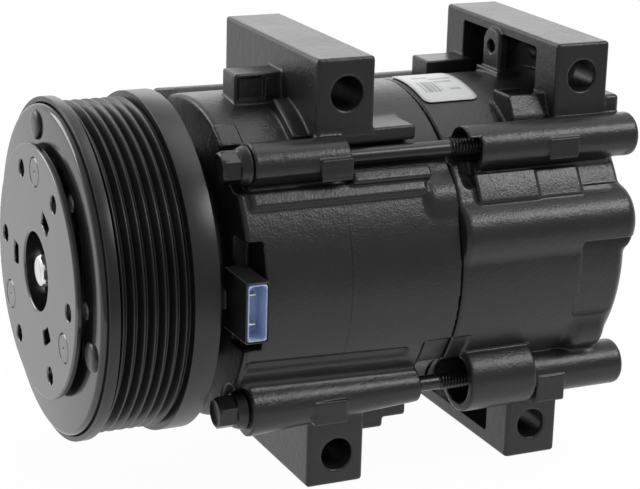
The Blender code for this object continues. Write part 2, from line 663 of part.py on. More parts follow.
def valve_plate(name, side):
    """Plate that closes the cylinders, with a suction and a discharge hole for each of them."""
    low, high = sorted((side * valve_start, side * valve_end))
    body = ring(name, low, high, SHAFT_RADIUS + RUNNING_GAP, block_radius, BODY_SIDES)
    inside = PITCH_RADIUS - BORE_RADIUS / 2.4
    outside = PITCH_RADIUS + BORE_RADIUS / 2.4
    holes = []
    for angle in PISTON_ANGLES:
        for radius, hole in ((outside, SUCTION_HOLE_RADIUS), (inside, DISCHARGE_HOLE_RADIUS)):
            y, z = polar(radius, angle)
            holes.append(rod("hole", low - OVERSHOOT, high + OVERSHOOT, hole, y, z, SMALL_HOLE_SIDES))
    return cut(body, *holes)


def piston(number, angle):
    """Piston with a head at each end and a bridge that passes outside the rim of the swash plate."""
    radius = BORE_RADIUS - SEAT_GAP
    body = rod(f"piston_{number}", -piston_half, piston_half, radius, 0.0, PITCH_RADIUS, CYLINDER_SIDES)
    bridge = swash_radius + RUNNING_GAP
    tools = [block("slot", -slot_half, slot_half, -BORE_RADIUS, BORE_RADIUS, 0.0, bridge)]
    for side in (-1, 1):
        tools.append(shoe_dome("pocket", side, SHOE_RADIUS + SEAT_GAP, OVERSHOOT))
    return turned(cut(body, *tools), angle)


def shoe_dome(name, side, radius, lead=0.0):
    """Half ball that opens towards the swash plate; lead carries its flat side further out."""
    arc = [(side * (slot_half + radius * math.sin(t)), radius * math.cos(t))
           for t in (0.0, math.pi / 4, math.pi / 2)]
    start = [(side * (slot_half - lead), 0), (side * (slot_half - lead), radius)]
    if lead == 0.0:
        start = [(side * slot_half, 0)]
    return revolve(name, start + arc[:-1] + [(arc[-1][0], 0)], HOLE_SIDES, 0.0, PITCH_RADIUS)


def piston_shoe(name, side, angle):
    """Half-ball shoe that lies in a pocket of its piston."""
    return turned(shoe_dome(name, side, SHOE_RADIUS), angle)


def swash_plate():
    """Tilted disc on a hub."""
    hub_radius = SHAFT_RADIUS + SEAT_GAP + SWASH_HUB_WALL
    body = rod("swash_plate", -hub_half, hub_half, hub_radius, sides=RING_SIDES)
    disc = rod("disc", -SWASH_THICKNESS / 2, SWASH_THICKNESS / 2, swash_radius, sides=BODY_SIDES)
    disc.data.transform(Matrix.Rotation(SWASH_ANGLE, 4, 'Y'))
    fuse(body, disc)
    reach = hub_half + OVERSHOOT
    return cut(body, rod("bore", -reach, reach, SHAFT_RADIUS + SEAT_GAP, sides=RING_SIDES))


def drive_shaft():
    """Stepped shaft with a threaded hole in its front end for the hub bolt."""
    front = cup_floor_front - SEAT_GAP
    shoulder = nose_front + SEAT_GAP
    rear = block_end - SEAT_GAP
    hole = HUB_BOLT_SHANK_RADIUS + SEAT_GAP
    depth = front + HUB_BOLT_DEPTH + 2 * SEAT_GAP
    profile = [
        (depth, 0), (depth, hole), (front, hole), (front, SHAFT_NECK_RADIUS), (shoulder, SHAFT_NECK_RADIUS),
        (shoulder, SHAFT_RADIUS), (rear - SHAFT_CHAMFER, SHAFT_RADIUS), (rear, SHAFT_RADIUS - SHAFT_CHAMFER),
        (rear, 0),
    ]
    return revolve("drive_shaft", profile, RING_SIDES)


def pulley():
    """Grooved belt rim, web with the friction face, and the hub that holds the bearing."""
    root = RIB_RADIUS - GROOVE_DEPTH
    neck = root + GROOVE_DEPTH * 0.4
    flange_rear = flange_front + FLANGE_WIDTH
    seat = bearing_front - SEAT_GAP
    shoulder = pulley_bore - ring_height / 2
    grooves = [(first_rib, RIB_RADIUS)]
    for k in range(GROOVE_COUNT):
        x = first_rib + (k + 0.5) * RIB_PITCH
        grooves += [(x, root), (x + RIB_PITCH / 2, RIB_RADIUS)]
    web_rear = friction_face + PULLEY_WEB
    profile = [
        (flange_front, lip_inner), (flange_front, flange_radius),
        (flange_rear, flange_radius), (flange_rear, neck),
    ] + grooves + [
        (band_start, neck), (band_start, flange_radius), (band_end, flange_radius),
        (band_end, rim_inner), (web_rear, rim_inner), (web_rear, pulley_hub_radius),
        (bearing_rear, pulley_hub_radius), (bearing_rear, pulley_bore), (seat, pulley_bore),
        (seat, shoulder), (friction_face, shoulder), (friction_face, lip_inner),
    ]
    return revolve("pulley", profile, PULLEY_SIDES)


def ball_cage():
    """Cage band with its row of balls."""
    middle = (bearing_front + bearing_rear) / 2
    body = ring("bearing_ball_cage", middle - CAGE_WIDTH / 2, middle + CAGE_WIDTH / 2,
                ball_circle - CAGE_HEIGHT / 2, ball_circle + CAGE_HEIGHT / 2, RING_SIDES)
    balls = []
    for k in range(BALL_COUNT):
        y, z = polar(ball_circle, 2 * math.pi * k / BALL_COUNT)
        profile = [(middle - ball_radius * math.cos(t), ball_radius * math.sin(t))
                   for t in (0.0, math.pi / 3, 2 * math.pi / 3)]
        balls.append(revolve("ball", profile + [(middle + ball_radius, 0)], SMALL_HOLE_SIDES, y, z))
    return fuse(body, *balls)


def field_coil():
    """Steel coil core, open to the pulley, and the potted winding in its channel."""
    channel_front = friction_face + PULLEY_WEB + RUNNING_GAP * 2
    inner, outer = coil_inner + coil_wall, coil_outer - coil_wall
    core = revolve("field_coil_core", [
        (coil_plate_rear, bearing_inner), (coil_plate_rear, coil_outer), (channel_front, coil_outer),
        (channel_front, outer), (coil_plate_front, outer), (coil_plate_front, inner), (channel_front, inner),
        (channel_front, coil_inner), (coil_plate_front, coil_inner), (coil_plate_front, bearing_inner),
    ], BODY_SIDES)
    winding = ring("field_coil_winding", channel_front + RUNNING_GAP, coil_plate_front - SEAT_GAP,
                   inner + SEAT_GAP, outer - SEAT_GAP, BODY_SIDES)
    return core, winding


def armature_plate():
    """Flat steel ring that the coil pulls against the pulley, with three raised stops near its edge."""
    edge_x, edge_r = armature_front + ARMATURE_EDGE, armature_radius - ARMATURE_EDGE
    edge = [(edge_x - ARMATURE_EDGE * math.sin(t), edge_r + ARMATURE_EDGE * math.cos(t))
            for t in (0.0, math.pi / 4, math.pi / 2)]
    profile = [(armature_front, ARMATURE_INNER_RADIUS), (armature_rear, ARMATURE_INNER_RADIUS),
               (armature_rear, armature_radius)] + edge
    body = revolve("armature_plate", profile, DISC_SIDES)
    space = armature_radius - ARMATURE_EDGE - HUB_RADIUS
    stops = []
    for k in range(3):
        y, z = polar(HUB_RADIUS + space / 2 + RUNNING_GAP / 2, math.radians(102.3 + 120.0 * k))
        stops.append(rod("stop", armature_front - STOP_HEIGHT, armature_front + ARMATURE_THICKNESS / 2,
                         space / 2 - RUNNING_GAP, y, z))
    return fuse(body, *stops)


def hub_plate():
    """Disc with a central cup that sits on the shaft, round holes, slots and seats for the rivets."""
    neck = SHAFT_NECK_RADIUS + SEAT_GAP
    profile = [
        (hub_front, HUB_CUP_RADIUS), (hub_front, HUB_RADIUS),
        (hub_rear, HUB_RADIUS), (hub_rear, cup_radius), (cup_floor_rear, cup_radius), (cup_floor_rear, neck),
        (cup_floor_front, neck), (cup_floor_front, HUB_CUP_RADIUS),
    ]
    body = revolve("hub_plate", profile, DISC_SIDES)
    before, behind = hub_front - OVERSHOOT, hub_rear + OVERSHOOT
    tools = []
    for k in range(6):
        y, z = polar(hub_hole_circle, math.radians(-5.5 + 60.0 * k))
        tools.append(rod("hole", before, behind, HUB_HOLE_RADIUS, y, z, HOLE_SIDES))
    for k in range(3):
        y, z = polar(rivet_circle, math.radians(90.0 + 120.0 * k))
        tools.append(rod("seat", before, hub_front + RIVET_HEAD_HEIGHT + SEAT_GAP,
                         RIVET_HEAD_RADIUS + SEAT_GAP, y, z))
        tools.append(rod("rivet_hole", hub_front, behind, RIVET_SHANK_RADIUS + SEAT_GAP, y, z, HOLE_SIDES))
        outline = rounded(HUB_SLOT_WIDTH, HUB_SLOT_LENGTH, HUB_SLOT_CORNER, -HUB_SLOT_CIRCLE, 0.0, 1)
        slot = extrude("slot", outline, 0, before, behind)
        slot.data.transform(Matrix.Rotation(-math.radians(60.0 + 120.0 * k), 4, 'X'))
        tools.append(slot)
    return cut(body, *tools)


def hub_rivet(number):
    """Flush rivet that holds a leaf spring to the hub plate."""
    y, z = polar(rivet_circle, math.radians(90.0 + 120.0 * (number - 1)))
    tail = hub_rear + SEAT_GAP + SPRING_THICKNESS + SEAT_GAP
    under = hub_front + RIVET_HEAD_HEIGHT
    profile = [
        (hub_front, 0), (hub_front, RIVET_HEAD_RADIUS), (under, RIVET_HEAD_RADIUS),
        (under, RIVET_SHANK_RADIUS), (tail, RIVET_SHANK_RADIUS), (tail, 0),
    ]
    return revolve(f"hub_rivet_{number}", profile, HOLE_SIDES, y, z)


def leaf_spring(number):
    """Flat spring from a hub rivet to the armature plate, along a chord."""
    low = hub_rear + SEAT_GAP
    chord = rivet_circle
    outline = rounded(chord + SPRING_WIDTH, SPRING_WIDTH, SPRING_CORNER, steps=1)
    strip = extrude(f"leaf_spring_{number}", outline, 0, low, low + SPRING_THICKNESS)
    y, z = polar(rivet_circle * math.cos(math.pi / 6), math.radians(120.0 + 120.0 * (number - 1)))
    turn = Matrix.Rotation(-math.radians(120.0 + 120.0 * (number - 1)) + math.pi / 2, 4, 'X')
    strip.data.transform(Matrix.Translation((0.0, y, z)) @ turn)
    y, z = polar(rivet_circle, math.radians(90.0 + 120.0 * (number - 1)))
    return cut(strip, rod("hole", low - OVERSHOOT, low + SPRING_THICKNESS + OVERSHOOT,
                          RIVET_SHANK_RADIUS + SEAT_GAP, y, z, HOLE_SIDES))


def hub_bolt():
    """Bolt that holds the hub plate on the shaft."""
    seat = cup_floor_front - 2 * SEAT_GAP
    flange = seat - HUB_BOLT_FLANGE_HEIGHT
    tip = seat + HUB_BOLT_DEPTH
    bolt = revolve("hub_bolt", [
        (flange, 0), (flange, HUB_BOLT_FLANGE_RADIUS), (seat, HUB_BOLT_FLANGE_RADIUS),
        (seat, HUB_BOLT_SHANK_RADIUS), (tip, HUB_BOLT_SHANK_RADIUS), (tip, 0),
    ], HOLE_SIDES)
    head_rear = flange + HUB_BOLT_FLANGE_HEIGHT / 4
    return fuse(bolt, extrude("head", hexagon(HUB_BOLT_HEX), 0, flange - HUB_BOLT_HEX_HEIGHT, head_rear))


def shaft_seal():
    """Seal that runs on the shaft inside the nose, and the ring that keeps it in."""
    ring_front = nose_front + RUNNING_GAP
    ring_rear = ring_front + SEAL_RING_THICKNESS
    outer = seal_bore - SEAT_GAP
    keeper = ring("seal_retaining_ring", ring_front, ring_rear, outer - SEAL_WALL / 2, outer)
    start = ring_rear + SEAT_GAP
    return keeper, ring("shaft_seal", start, start + SEAL_LENGTH, SHAFT_RADIUS + SEAT_GAP, outer)


def connector():
    """Plug socket of the coil: shell with a foot to the coil, insert and two terminals."""
    x0, x1 = connector_front, connector_front + CONNECTOR_WIDTH
    mouth, back = -connector_reach, -connector_reach + CONNECTOR_DEPTH
    half = CONNECTOR_HEIGHT / 2
    wall = CONNECTOR_WALL
    outline = rounded(CONNECTOR_WIDTH, CONNECTOR_HEIGHT, CONNECTOR_CORNER, (x0 + x1) / 2, 0.0, 1)
    shell = extrude("connector_shell", outline, 1, mouth, back)
    foot_start = min(back - OVERSHOOT, -connector_foot_end) - CONNECTOR_FOOT_WIDTH
    foot = block("foot", coil_plate_rear + SEAT_GAP, x0 + wall, foot_start, -connector_foot_end,
                 -CONNECTOR_FOOT_HEIGHT / 2, CONNECTOR_FOOT_HEIGHT / 2)
    fuse(shell, foot)
    cavity_end = back - CONNECTOR_FLOOR
    inner = half - wall
    cut(shell, block("cavity", x0 + wall, x1 - wall, mouth - OVERSHOOT, cavity_end, -inner, inner))
    gap = SEAT_GAP
    face = mouth + CONNECTOR_RECESS
    insert = block("connector_insert", x0 + wall + gap, x1 - wall - gap, face, cavity_end - gap,
                   gap - inner, inner - gap)
    blade_x = x0 + wall + TERMINAL_INSET
    blade_end = cavity_end - TERMINAL_SHORTENING
    blades, slots = [], []
    for number, side in ((1, 1), (2, -1)):
        z = side * TERMINAL_SPACING / 2
        edges = (z - TERMINAL_WIDTH / 2, z + TERMINAL_WIDTH / 2)
        blades.append(block(f"connector_terminal_{number}", blade_x, blade_x + TERMINAL_THICKNESS,
                            mouth + CONNECTOR_RECESS / 4, blade_end, *edges))
        slots.append(block("slot", blade_x - gap, blade_x + TERMINAL_THICKNESS + gap, face - OVERSHOOT,
                           blade_end + gap, edges[0] - gap, edges[1] + gap))
    cut(insert, *slots)
    return [shell, insert] + blades


def label():
    """Plain sticker over the top of the rear housing."""
    low = body_radius + SEAT_GAP
    end = LABEL_START + LABEL_LENGTH
    return saddle("label", LABEL_START, end, LABEL_ANGLES, low, low + LABEL_THICKNESS, 6)


def finish(piece, colour, metallic, roughness):
    """Give a piece its own material, smooth its round faces and move it to the frame."""
    material = bpy.data.materials.new(f"{piece.name}_finish")
    material.use_nodes = True
    shader = material.node_tree.nodes["Principled BSDF"]
    shader.inputs["Base Color"].default_value = (*colour, 1.0)
    shader.inputs["Metallic"].default_value = metallic
    shader.inputs["Roughness"].default_value = roughness
    piece.data.materials.clear()
    piece.data.materials.append(material)
    piece.data.polygons.foreach_set("use_smooth", [True] * len(piece.data.polygons))
    piece.data.set_sharp_from_angle(angle=math.radians(32.0))


def axis_empty(name, offset=(0.0, 0.0, 0.0)):
    """Marker on a joint axis that carries the pieces of one moving body."""
    marker = bpy.data.objects.new(name, None)
    marker.empty_display_size = 0.02
    marker.location = FRAME + Vector(offset)
    bpy.context.scene.collection.objects.link(marker)
    return marker


def carry(marker, pieces):
    """Hang pieces on a marker with their origins on its axis."""
    offset = marker.location - FRAME
    for piece in pieces:
        piece.data.transform(Matrix.Translation(-offset))
        piece.parent = marker


BLACK_PAINT = ((0.030, 0.031, 0.033), 0.0, 0.42)
STEEL = ((0.55, 0.55, 0.56), 1.0, 0.32)
ALUMINIUM = ((0.62, 0.63, 0.64), 1.0, 0.45)
BLACK_STEEL = ((0.06, 0.06, 0.062), 0.6, 0.45)
RUBBER = ((0.02, 0.02, 0.02), 0.0, 0.75)
RESIN = ((0.10, 0.07, 0.05), 0.0, 0.55)
BLACK_PLASTIC = ((0.018, 0.018, 0.019), 0.0, 0.5)
BLUE_PLASTIC = ((0.16, 0.27, 0.50), 0.0, 0.5)
PAPER = ((0.80, 0.81, 0.80), 0.0, 0.6)

# Fixed pieces
core, winding = field_coil()
keeper, seal = shaft_seal()
shell, insert, *terminals = connector()
fixed = {
    BLACK_PAINT: [front_housing(), rear_housing()],
    BLACK_STEEL: [through_bolt(k + 1, angle) for k, angle in enumerate(BOLT_ANGLES)] + [core],
    ALUMINIUM: [cylinder_block("front_cylinder_block", -1), cylinder_block("rear_cylinder_block", 1)],
    STEEL: [valve_plate("front_valve_plate", -1), valve_plate("rear_valve_plate", 1), keeper] + terminals,
    RUBBER: [sealing_ring(), seal],
    RESIN: [winding],
    BLACK_PLASTIC: [shell],
    BLUE_PLASTIC: [insert],
    PAPER: [label()],
}
for name, side in (("front", -1), ("rear", 1)):
    low, high = sorted((side * (block_end - RADIAL_BEARING_LENGTH), side * block_end))
    fixed[STEEL].append(ring(f"{name}_radial_bearing", low, high, SHAFT_RADIUS + SEAT_GAP, bearing_radius))
    low, high = sorted((side * (hub_half + SEAT_GAP), side * (block_start - SEAT_GAP)))
    thrust_radius = bearing_radius + SWASH_MARGIN
    fixed[STEEL].append(ring(f"{name}_thrust_bearing", low, high, SHAFT_RADIUS + SEAT_GAP, thrust_radius))
inner_ring = ring("bearing_inner_ring", bearing_front, bearing_rear, bearing_inner, race_inner, BODY_SIDES)
fixed[STEEL].append(inner_ring)
for name, rear in (("bearing_snap_ring", bearing_front - SEAT_GAP), ("coil_snap_ring", coil_ring_rear)):
    outer = bearing_inner + SNAP_RING_HEIGHT
    fixed[STEEL].append(ring(name, rear - SNAP_RING_THICKNESS, rear, bearing_inner, outer, BODY_SIDES))

# Moving pieces
outer_ring = ring("bearing_outer_ring", bearing_front, bearing_rear, race_outer, bearing_outer, BODY_SIDES)
belt_drive = {BLACK_PAINT: [pulley()], STEEL: [outer_ring]}
cage = {STEEL: [ball_cage()]}
turning = {BLACK_PAINT: [hub_plate()],
           STEEL: [drive_shaft(), swash_plate(), hub_bolt()] + [leaf_spring(k) for k in (1, 2, 3)],
           BLACK_STEEL: [hub_rivet(k) for k in (1, 2, 3)]}
clutch_plate = {BLACK_PAINT: [armature_plate()]}
piston_sets = []
for number, angle in enumerate(PISTON_ANGLES, start=1):
    shoes = [piston_shoe(f"front_shoe_{number}", -1, angle), piston_shoe(f"rear_shoe_{number}", 1, angle)]
    piston_sets.append({ALUMINIUM: [piston(number, angle)], STEEL: shoes})

markers = [
    (axis_empty("fixed_frame"), fixed),
    (axis_empty("pulley_axis"), belt_drive),
    (axis_empty("cage_axis"), cage),
    (axis_empty("shaft_axis"), turning),
    (axis_empty("armature_axis"), clutch_plate),
]
for number, (angle, pieces) in enumerate(zip(PISTON_ANGLES, piston_sets), start=1):
    markers.append((axis_empty(f"piston_{number}_axis", (0.0, *polar(PITCH_RADIUS, angle))), pieces))
for marker, groups in markers:
    for look, pieces in groups.items():
        for piece in pieces:
            finish(piece, *look)
        carry(marker, pieces)
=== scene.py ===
"""Looks of a belt-driven air conditioning compressor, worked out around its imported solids.

Shapes are computed in millimetres about the shaft: x runs along it from the joint of the two housings, with the
clutch at -x, y across and z up. Angles count from the connector side (-y) upwards.
"""
import json
import math

import bmesh
import bpy
import numpy as np
from bpy.props import FloatProperty, FloatVectorProperty, IntProperty, PointerProperty
from bpy.types import Operator, Panel, PropertyGroup
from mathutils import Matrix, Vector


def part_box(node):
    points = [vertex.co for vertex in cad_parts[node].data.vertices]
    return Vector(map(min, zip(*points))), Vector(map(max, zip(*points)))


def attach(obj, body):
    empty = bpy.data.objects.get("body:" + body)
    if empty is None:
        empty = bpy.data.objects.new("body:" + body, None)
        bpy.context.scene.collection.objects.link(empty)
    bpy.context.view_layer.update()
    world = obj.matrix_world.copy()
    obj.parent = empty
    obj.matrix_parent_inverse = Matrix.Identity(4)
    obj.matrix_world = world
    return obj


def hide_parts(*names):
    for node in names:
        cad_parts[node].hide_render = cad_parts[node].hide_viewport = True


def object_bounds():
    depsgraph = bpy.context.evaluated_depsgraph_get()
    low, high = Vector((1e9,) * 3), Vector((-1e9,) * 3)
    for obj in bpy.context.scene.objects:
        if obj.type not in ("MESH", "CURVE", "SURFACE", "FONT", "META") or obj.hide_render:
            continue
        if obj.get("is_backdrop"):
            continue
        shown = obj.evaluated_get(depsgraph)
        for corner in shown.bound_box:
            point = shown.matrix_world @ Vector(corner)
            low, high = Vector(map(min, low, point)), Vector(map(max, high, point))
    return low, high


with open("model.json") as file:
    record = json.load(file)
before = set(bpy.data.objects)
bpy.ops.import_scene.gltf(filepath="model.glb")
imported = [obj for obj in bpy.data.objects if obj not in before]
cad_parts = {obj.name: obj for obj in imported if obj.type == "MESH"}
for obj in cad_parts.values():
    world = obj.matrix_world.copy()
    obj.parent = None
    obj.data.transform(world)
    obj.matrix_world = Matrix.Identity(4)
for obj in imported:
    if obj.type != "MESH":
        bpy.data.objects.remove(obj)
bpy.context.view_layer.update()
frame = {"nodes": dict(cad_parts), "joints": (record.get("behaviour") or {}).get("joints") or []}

bl_info = {
    "name": "Air conditioning compressor",
    "version": (1, 0, 0),
    "blender": (4, 5, 0),
    "location": "View3D > Sidebar > Compressor",
    "description": "Castings, clutch, bolts, connector and label of a belt-driven compressor",
    "category": "Add Mesh",
}

MM = 0.001
FAR = 1000.0
MOST_TRIANGLES = 190000
SHARP_EDGE = math.radians(35.0)
SAME_PLACE = 1e-8
BOLT_ANGLE = 45.0
shaft_pos = next(joint for joint in frame["joints"] if joint["name"] == "shaft_spin")["pos_m"]
joint_x = (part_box("front_housing")[1].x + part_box("rear_housing")[0].x) / 2
ORIGIN = np.array((joint_x, shaft_pos[1], shaft_pos[2]))


def extent(node):
    """Lowest and highest corner of a solid, in millimetres about the shaft."""
    return [(np.array(corner) - ORIGIN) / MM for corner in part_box(node)]


# ---- sizes and colours ----


class CastingSizes(PropertyGroup):
    """Sizes of the two housings, in millimetres."""
    grid_step: FloatProperty(name="Grid step", description="Cell of the grid the castings are drawn on", default=0.9)
    body_radius: FloatProperty(name="Body radius", description="Outside of both housings", default=56.0)
    bore_radius: FloatProperty(name="Bore radius", description="Inside of both housings", default=50.8)
    bolt_circle: FloatProperty(
        name="Bolt circle", description="Distance of the through bolts from the shaft", default=59.7)
    boss_radius: FloatProperty(name="Boss radius", description="Outside of the bolt bosses", default=8.0)
    lug_corner: FloatProperty(name="Lug corner", description="Rounding of the lug edges", default=1.1)


class ClutchSizes(PropertyGroup):
    """Sizes of the pulley, armature and hub, in millimetres."""
    segments: IntProperty(name="Segments", description="Steps round a turned piece", default=192)
    rib_radius: FloatProperty(name="Rib radius", description="Crest of the belt ribs", default=56.5)
    root_radius: FloatProperty(name="Root radius", description="Bottom of the belt grooves", default=53.6)
    rib_pitch: FloatProperty(name="Rib pitch", description="Distance from rib to rib", default=3.56)
    flange_radius: FloatProperty(name="Flange radius", description="Front flange and rear band", default=58.4)
    armature_radius: FloatProperty(name="Armature radius", description="Outside of the armature", default=56.2)
    hub_radius: FloatProperty(name="Hub radius", description="Outside of the hub plate", default=43.3)
    cup_radius: FloatProperty(name="Cup radius", description="Inside of the cup of the hub plate", default=13.4)


class BoltSizes(PropertyGroup):
    """Sizes of the through bolts, in millimetres."""
    across_flats: FloatProperty(name="Across flats", description="Hexagon of the heads", default=10.0)
    flange_radius: FloatProperty(name="Flange radius", description="Flange under the heads", default=6.8)
    shank_radius: FloatProperty(name="Shank radius", description="Bare shank", default=2.75)
    thread_radius: FloatProperty(name="Thread radius", description="Outside of the thread", default=3.0)
    pitch: FloatProperty(name="Pitch", description="Distance from thread to thread", default=1.25)


class FinishColours(PropertyGroup):
    """Colours of the finishes."""
    casting: FloatVectorProperty(
        name="Casting", description="Black paint of the housings", subtype="COLOR", default=(0.014, 0.014, 0.015))
    clutch: FloatVectorProperty(
        name="Clutch", description="Gloss black of hub and armature", subtype="COLOR", default=(0.010, 0.010, 0.011))
    pulley: FloatVectorProperty(
        name="Pulley", description="Black of the pulley", subtype="COLOR", default=(0.007, 0.007, 0.0075))
    bolt: FloatVectorProperty(
        name="Bolts", description="Black of the through bolts", subtype="COLOR", default=(0.008, 0.008, 0.009))
    zinc: FloatVectorProperty(
        name="Zinc", description="Bright plated steel", subtype="COLOR", default=(0.78, 0.78, 0.77))
    steel: FloatVectorProperty(
        name="Steel", description="Ground steel inside", subtype="COLOR", default=(0.56, 0.56, 0.57))
    aluminium: FloatVectorProperty(
        name="Aluminium", description="Machined aluminium inside", subtype="COLOR", default=(0.66, 0.67, 0.68))
    rubber: FloatVectorProperty(
        name="Rubber", description="Seals and stops", subtype="COLOR", default=(0.018, 0.018, 0.019))
    resin: FloatVectorProperty(
        name="Resin", description="Potting of the coil", subtype="COLOR", default=(0.075, 0.045, 0.025))
    plastic: FloatVectorProperty(
        name="Plastic", description="Shell of the connector", subtype="COLOR", default=(0.012, 0.012, 0.013))
    blue: FloatVectorProperty(
        name="Blue plastic", description="Liner of the connector", subtype="COLOR", default=(0.400, 0.500, 0.720))
    paper: FloatVectorProperty(name="Paper", description="Label", subtype="COLOR", default=(0.58, 0.59, 0.59))


class StageSettings(PropertyGroup):
    """Camera, light and floor."""
    camera_at: FloatVectorProperty(
        name="Camera", description="Place of the camera", subtype="TRANSLATION", unit="LENGTH",
        default=(-0.288293, -0.618926, 0.286292))
    camera_turn: FloatVectorProperty(
        name="Camera turn", description="Turn of the camera in degrees", default=(72.84089, -1.52720, -24.64418))
    lens: FloatProperty(name="Lens", description="Focal length in millimetres", default=113.4147)
    ambient: FloatProperty(name="Ambient", description="Light from all round", default=0.5)
    front_dim: FloatProperty(
        name="Front dim", description="Brightness of the room in front, in reflections", default=0.4)
    top_power: FloatProperty(name="Top light", description="Power of the overhead softbox in watts", default=1.2)
    key_power: FloatProperty(
        name="Key light", description="Power of the softbox in front on the right in watts", default=4.6)
    back_power: FloatProperty(name="Back light", description="Power of the softbox behind in watts", default=1.6)
    left_power: FloatProperty(name="Left light", description="Power of the softbox on the left in watts", default=6.0)
    floor: FloatVectorProperty(
        name="Floor", description="Colour of the floor", subtype="COLOR", default=(0.90, 0.90, 0.90))
    floor_white: FloatProperty(
        name="Floor white", description="Share of plain white in what is seen of the floor", default=0.97)


# ---- distance fields for cast shapes: each gives its distance and the corners of its box ----


def soft_min(a, b, blend):
    """Smaller of two distances, with a fillet of about the blend length where they are alike."""
    if not blend:
        return np.minimum(a, b)
    share = np.maximum(blend - np.abs(a - b), 0.0) / blend
    return np.minimum(a, b) - share * share * blend / 4


def merged(here, there, blend, adding):
    """A distance with another joined to it or cut out of it."""
    return soft_min(here, there, blend) if adding else -soft_min(-here, there, blend)


def gap(p, low, high):
    """Signed distance of a coordinate to a span: its distance from the middle less half the length."""
    return np.abs(p - (low + high) / 2) - (high - low) / 2


def rounded(corner, *gaps):
    """Distance to a block from its signed gaps along square directions, with edges of the corner radius."""
    parts = [part + corner for part in gaps]
    outside = np.sqrt(sum(np.maximum(part, 0.0) ** 2 for part in parts))
    deepest = parts[0]
    for part in parts[1:]:
        deepest = np.maximum(deepest, part)
    return outside + np.minimum(deepest, 0.0) - corner


def polar(angle, radius):
    """y and z of a point at an angle in degrees and a distance from the shaft."""
    turn = math.radians(angle)
    return -radius * math.cos(turn), radius * math.sin(turn)


def drum(x0, x1, radius, corner, y=0.0, z=0.0):
    """Round bar along x: the larger of its gaps along the axis and across it, rounded.
    corner may give the front and the rear end each their own."""
    front, rear = corner if isinstance(corner, tuple) else (corner, corner)

    def distance(px, py, pz):
        edge = np.where(px < (x0 + x1) / 2, front, rear)
        return rounded(edge, gap(px, x0, x1), np.hypot(py - y, pz - z) - radius)
    return distance, (x0, y - radius, z - radius), (x1, y + radius, z + radius)


def cone(x0, x1, front, rear, corner, y, z):
    """Round bar along x whose radius goes evenly from the front one to the rear one."""
    most = max(front, rear)

    def distance(px, py, pz):
        across = np.hypot(py - y, pz - z) - front - (rear - front) * np.clip((px - x0) / (x1 - x0), 0, 1)
        return rounded(corner, gap(px, x0, x1), across)
    return distance, (x0, y - most, z - most), (x1, y + most, z + most)


def bar(x0, x1, y0, y1, z0, z1, corner):
    """Square block: the largest of its gaps along x, y and z, rounded."""
    def distance(px, py, pz):
        return rounded(corner, gap(px, x0, x1), gap(py, y0, y1), gap(pz, z0, z1))
    return distance, (x0, y0, z0), (x1, y1, z1)


def cross_drum(y0, y1, radius, x, z):
    """Round bar along y: the larger of its gaps along the axis and across it, rounded by half a millimetre."""
    def distance(px, py, pz):
        return rounded(0.5, gap(py, y0, y1), np.hypot(px - x, pz - z) - radius)
    return distance, (x - radius, y0, z - radius), (x + radius, y1, z + radius)


def tab(x0, x1, y0, y1, z0, z1, corner, edge):
    """Upright plate across x: gaps along y and z with large corners, then the gap along x with small edges."""
    def distance(px, py, pz):
        return rounded(edge, gap(px, x0, x1), rounded(corner, gap(py, y0, y1), gap(pz, z0, z1)))
    return distance, (x0, y0, z0), (x1, y1, z1)


def patch(x0, x1, low, high, inner, outer, corner, lean=0.0):
    """Block lying on the body: gaps along x, along the arc between two angles, and along the radius.
    lean turns both angles by that many degrees for each millimetre of x."""
    middle, half = (low + high) / 2, (high - low) / 2
    reach = abs(lean) * (x1 - x0)

    def distance(px, py, pz):
        angle = np.degrees(np.arctan2(pz, -py)) - middle - lean * (px - x0)
        angle = np.abs((angle + 180.0) % 360.0 - 180.0)
        return rounded(corner, gap(px, x0, x1), np.radians(angle - half) * outer, gap(np.hypot(py, pz), inner, outer))
    corners = np.array([polar(a, r) for a in np.linspace(low - reach, high + reach, 9) for r in (inner, outer)])
    (y0, z0), (y1, z1) = corners.min(0), corners.max(0)
    return distance, (x0, y0, z0), (x1, y1, z1)


def tube(x0, x1, inner, outer, corner):
    """Ring along x about the shaft: the larger of its gaps along the axis and along the radius, rounded."""
    def distance(px, py, pz):
        return rounded(corner, gap(px, x0, x1), gap(np.hypot(py, pz), inner, outer))
    return distance, (x0, -outer, -outer), (x1, outer, outer)


def lean_face(low, high, y, z, lean):
    """All that lies to the -y side of a plane along x, which passes a point and leans back by an angle."""
    turn = math.radians(lean)

    def distance(px, py, pz):
        return (py - y) * math.cos(turn) + (pz - z) * math.sin(turn)
    return distance, low, high


def mirrored(shape):
    """The same shape on the other side of the shaft."""
    distance, low, high = shape
    return (lambda px, py, pz: distance(px, -py, pz),
            (low[0], -high[1], low[2]), (high[0], -low[1], high[2]))


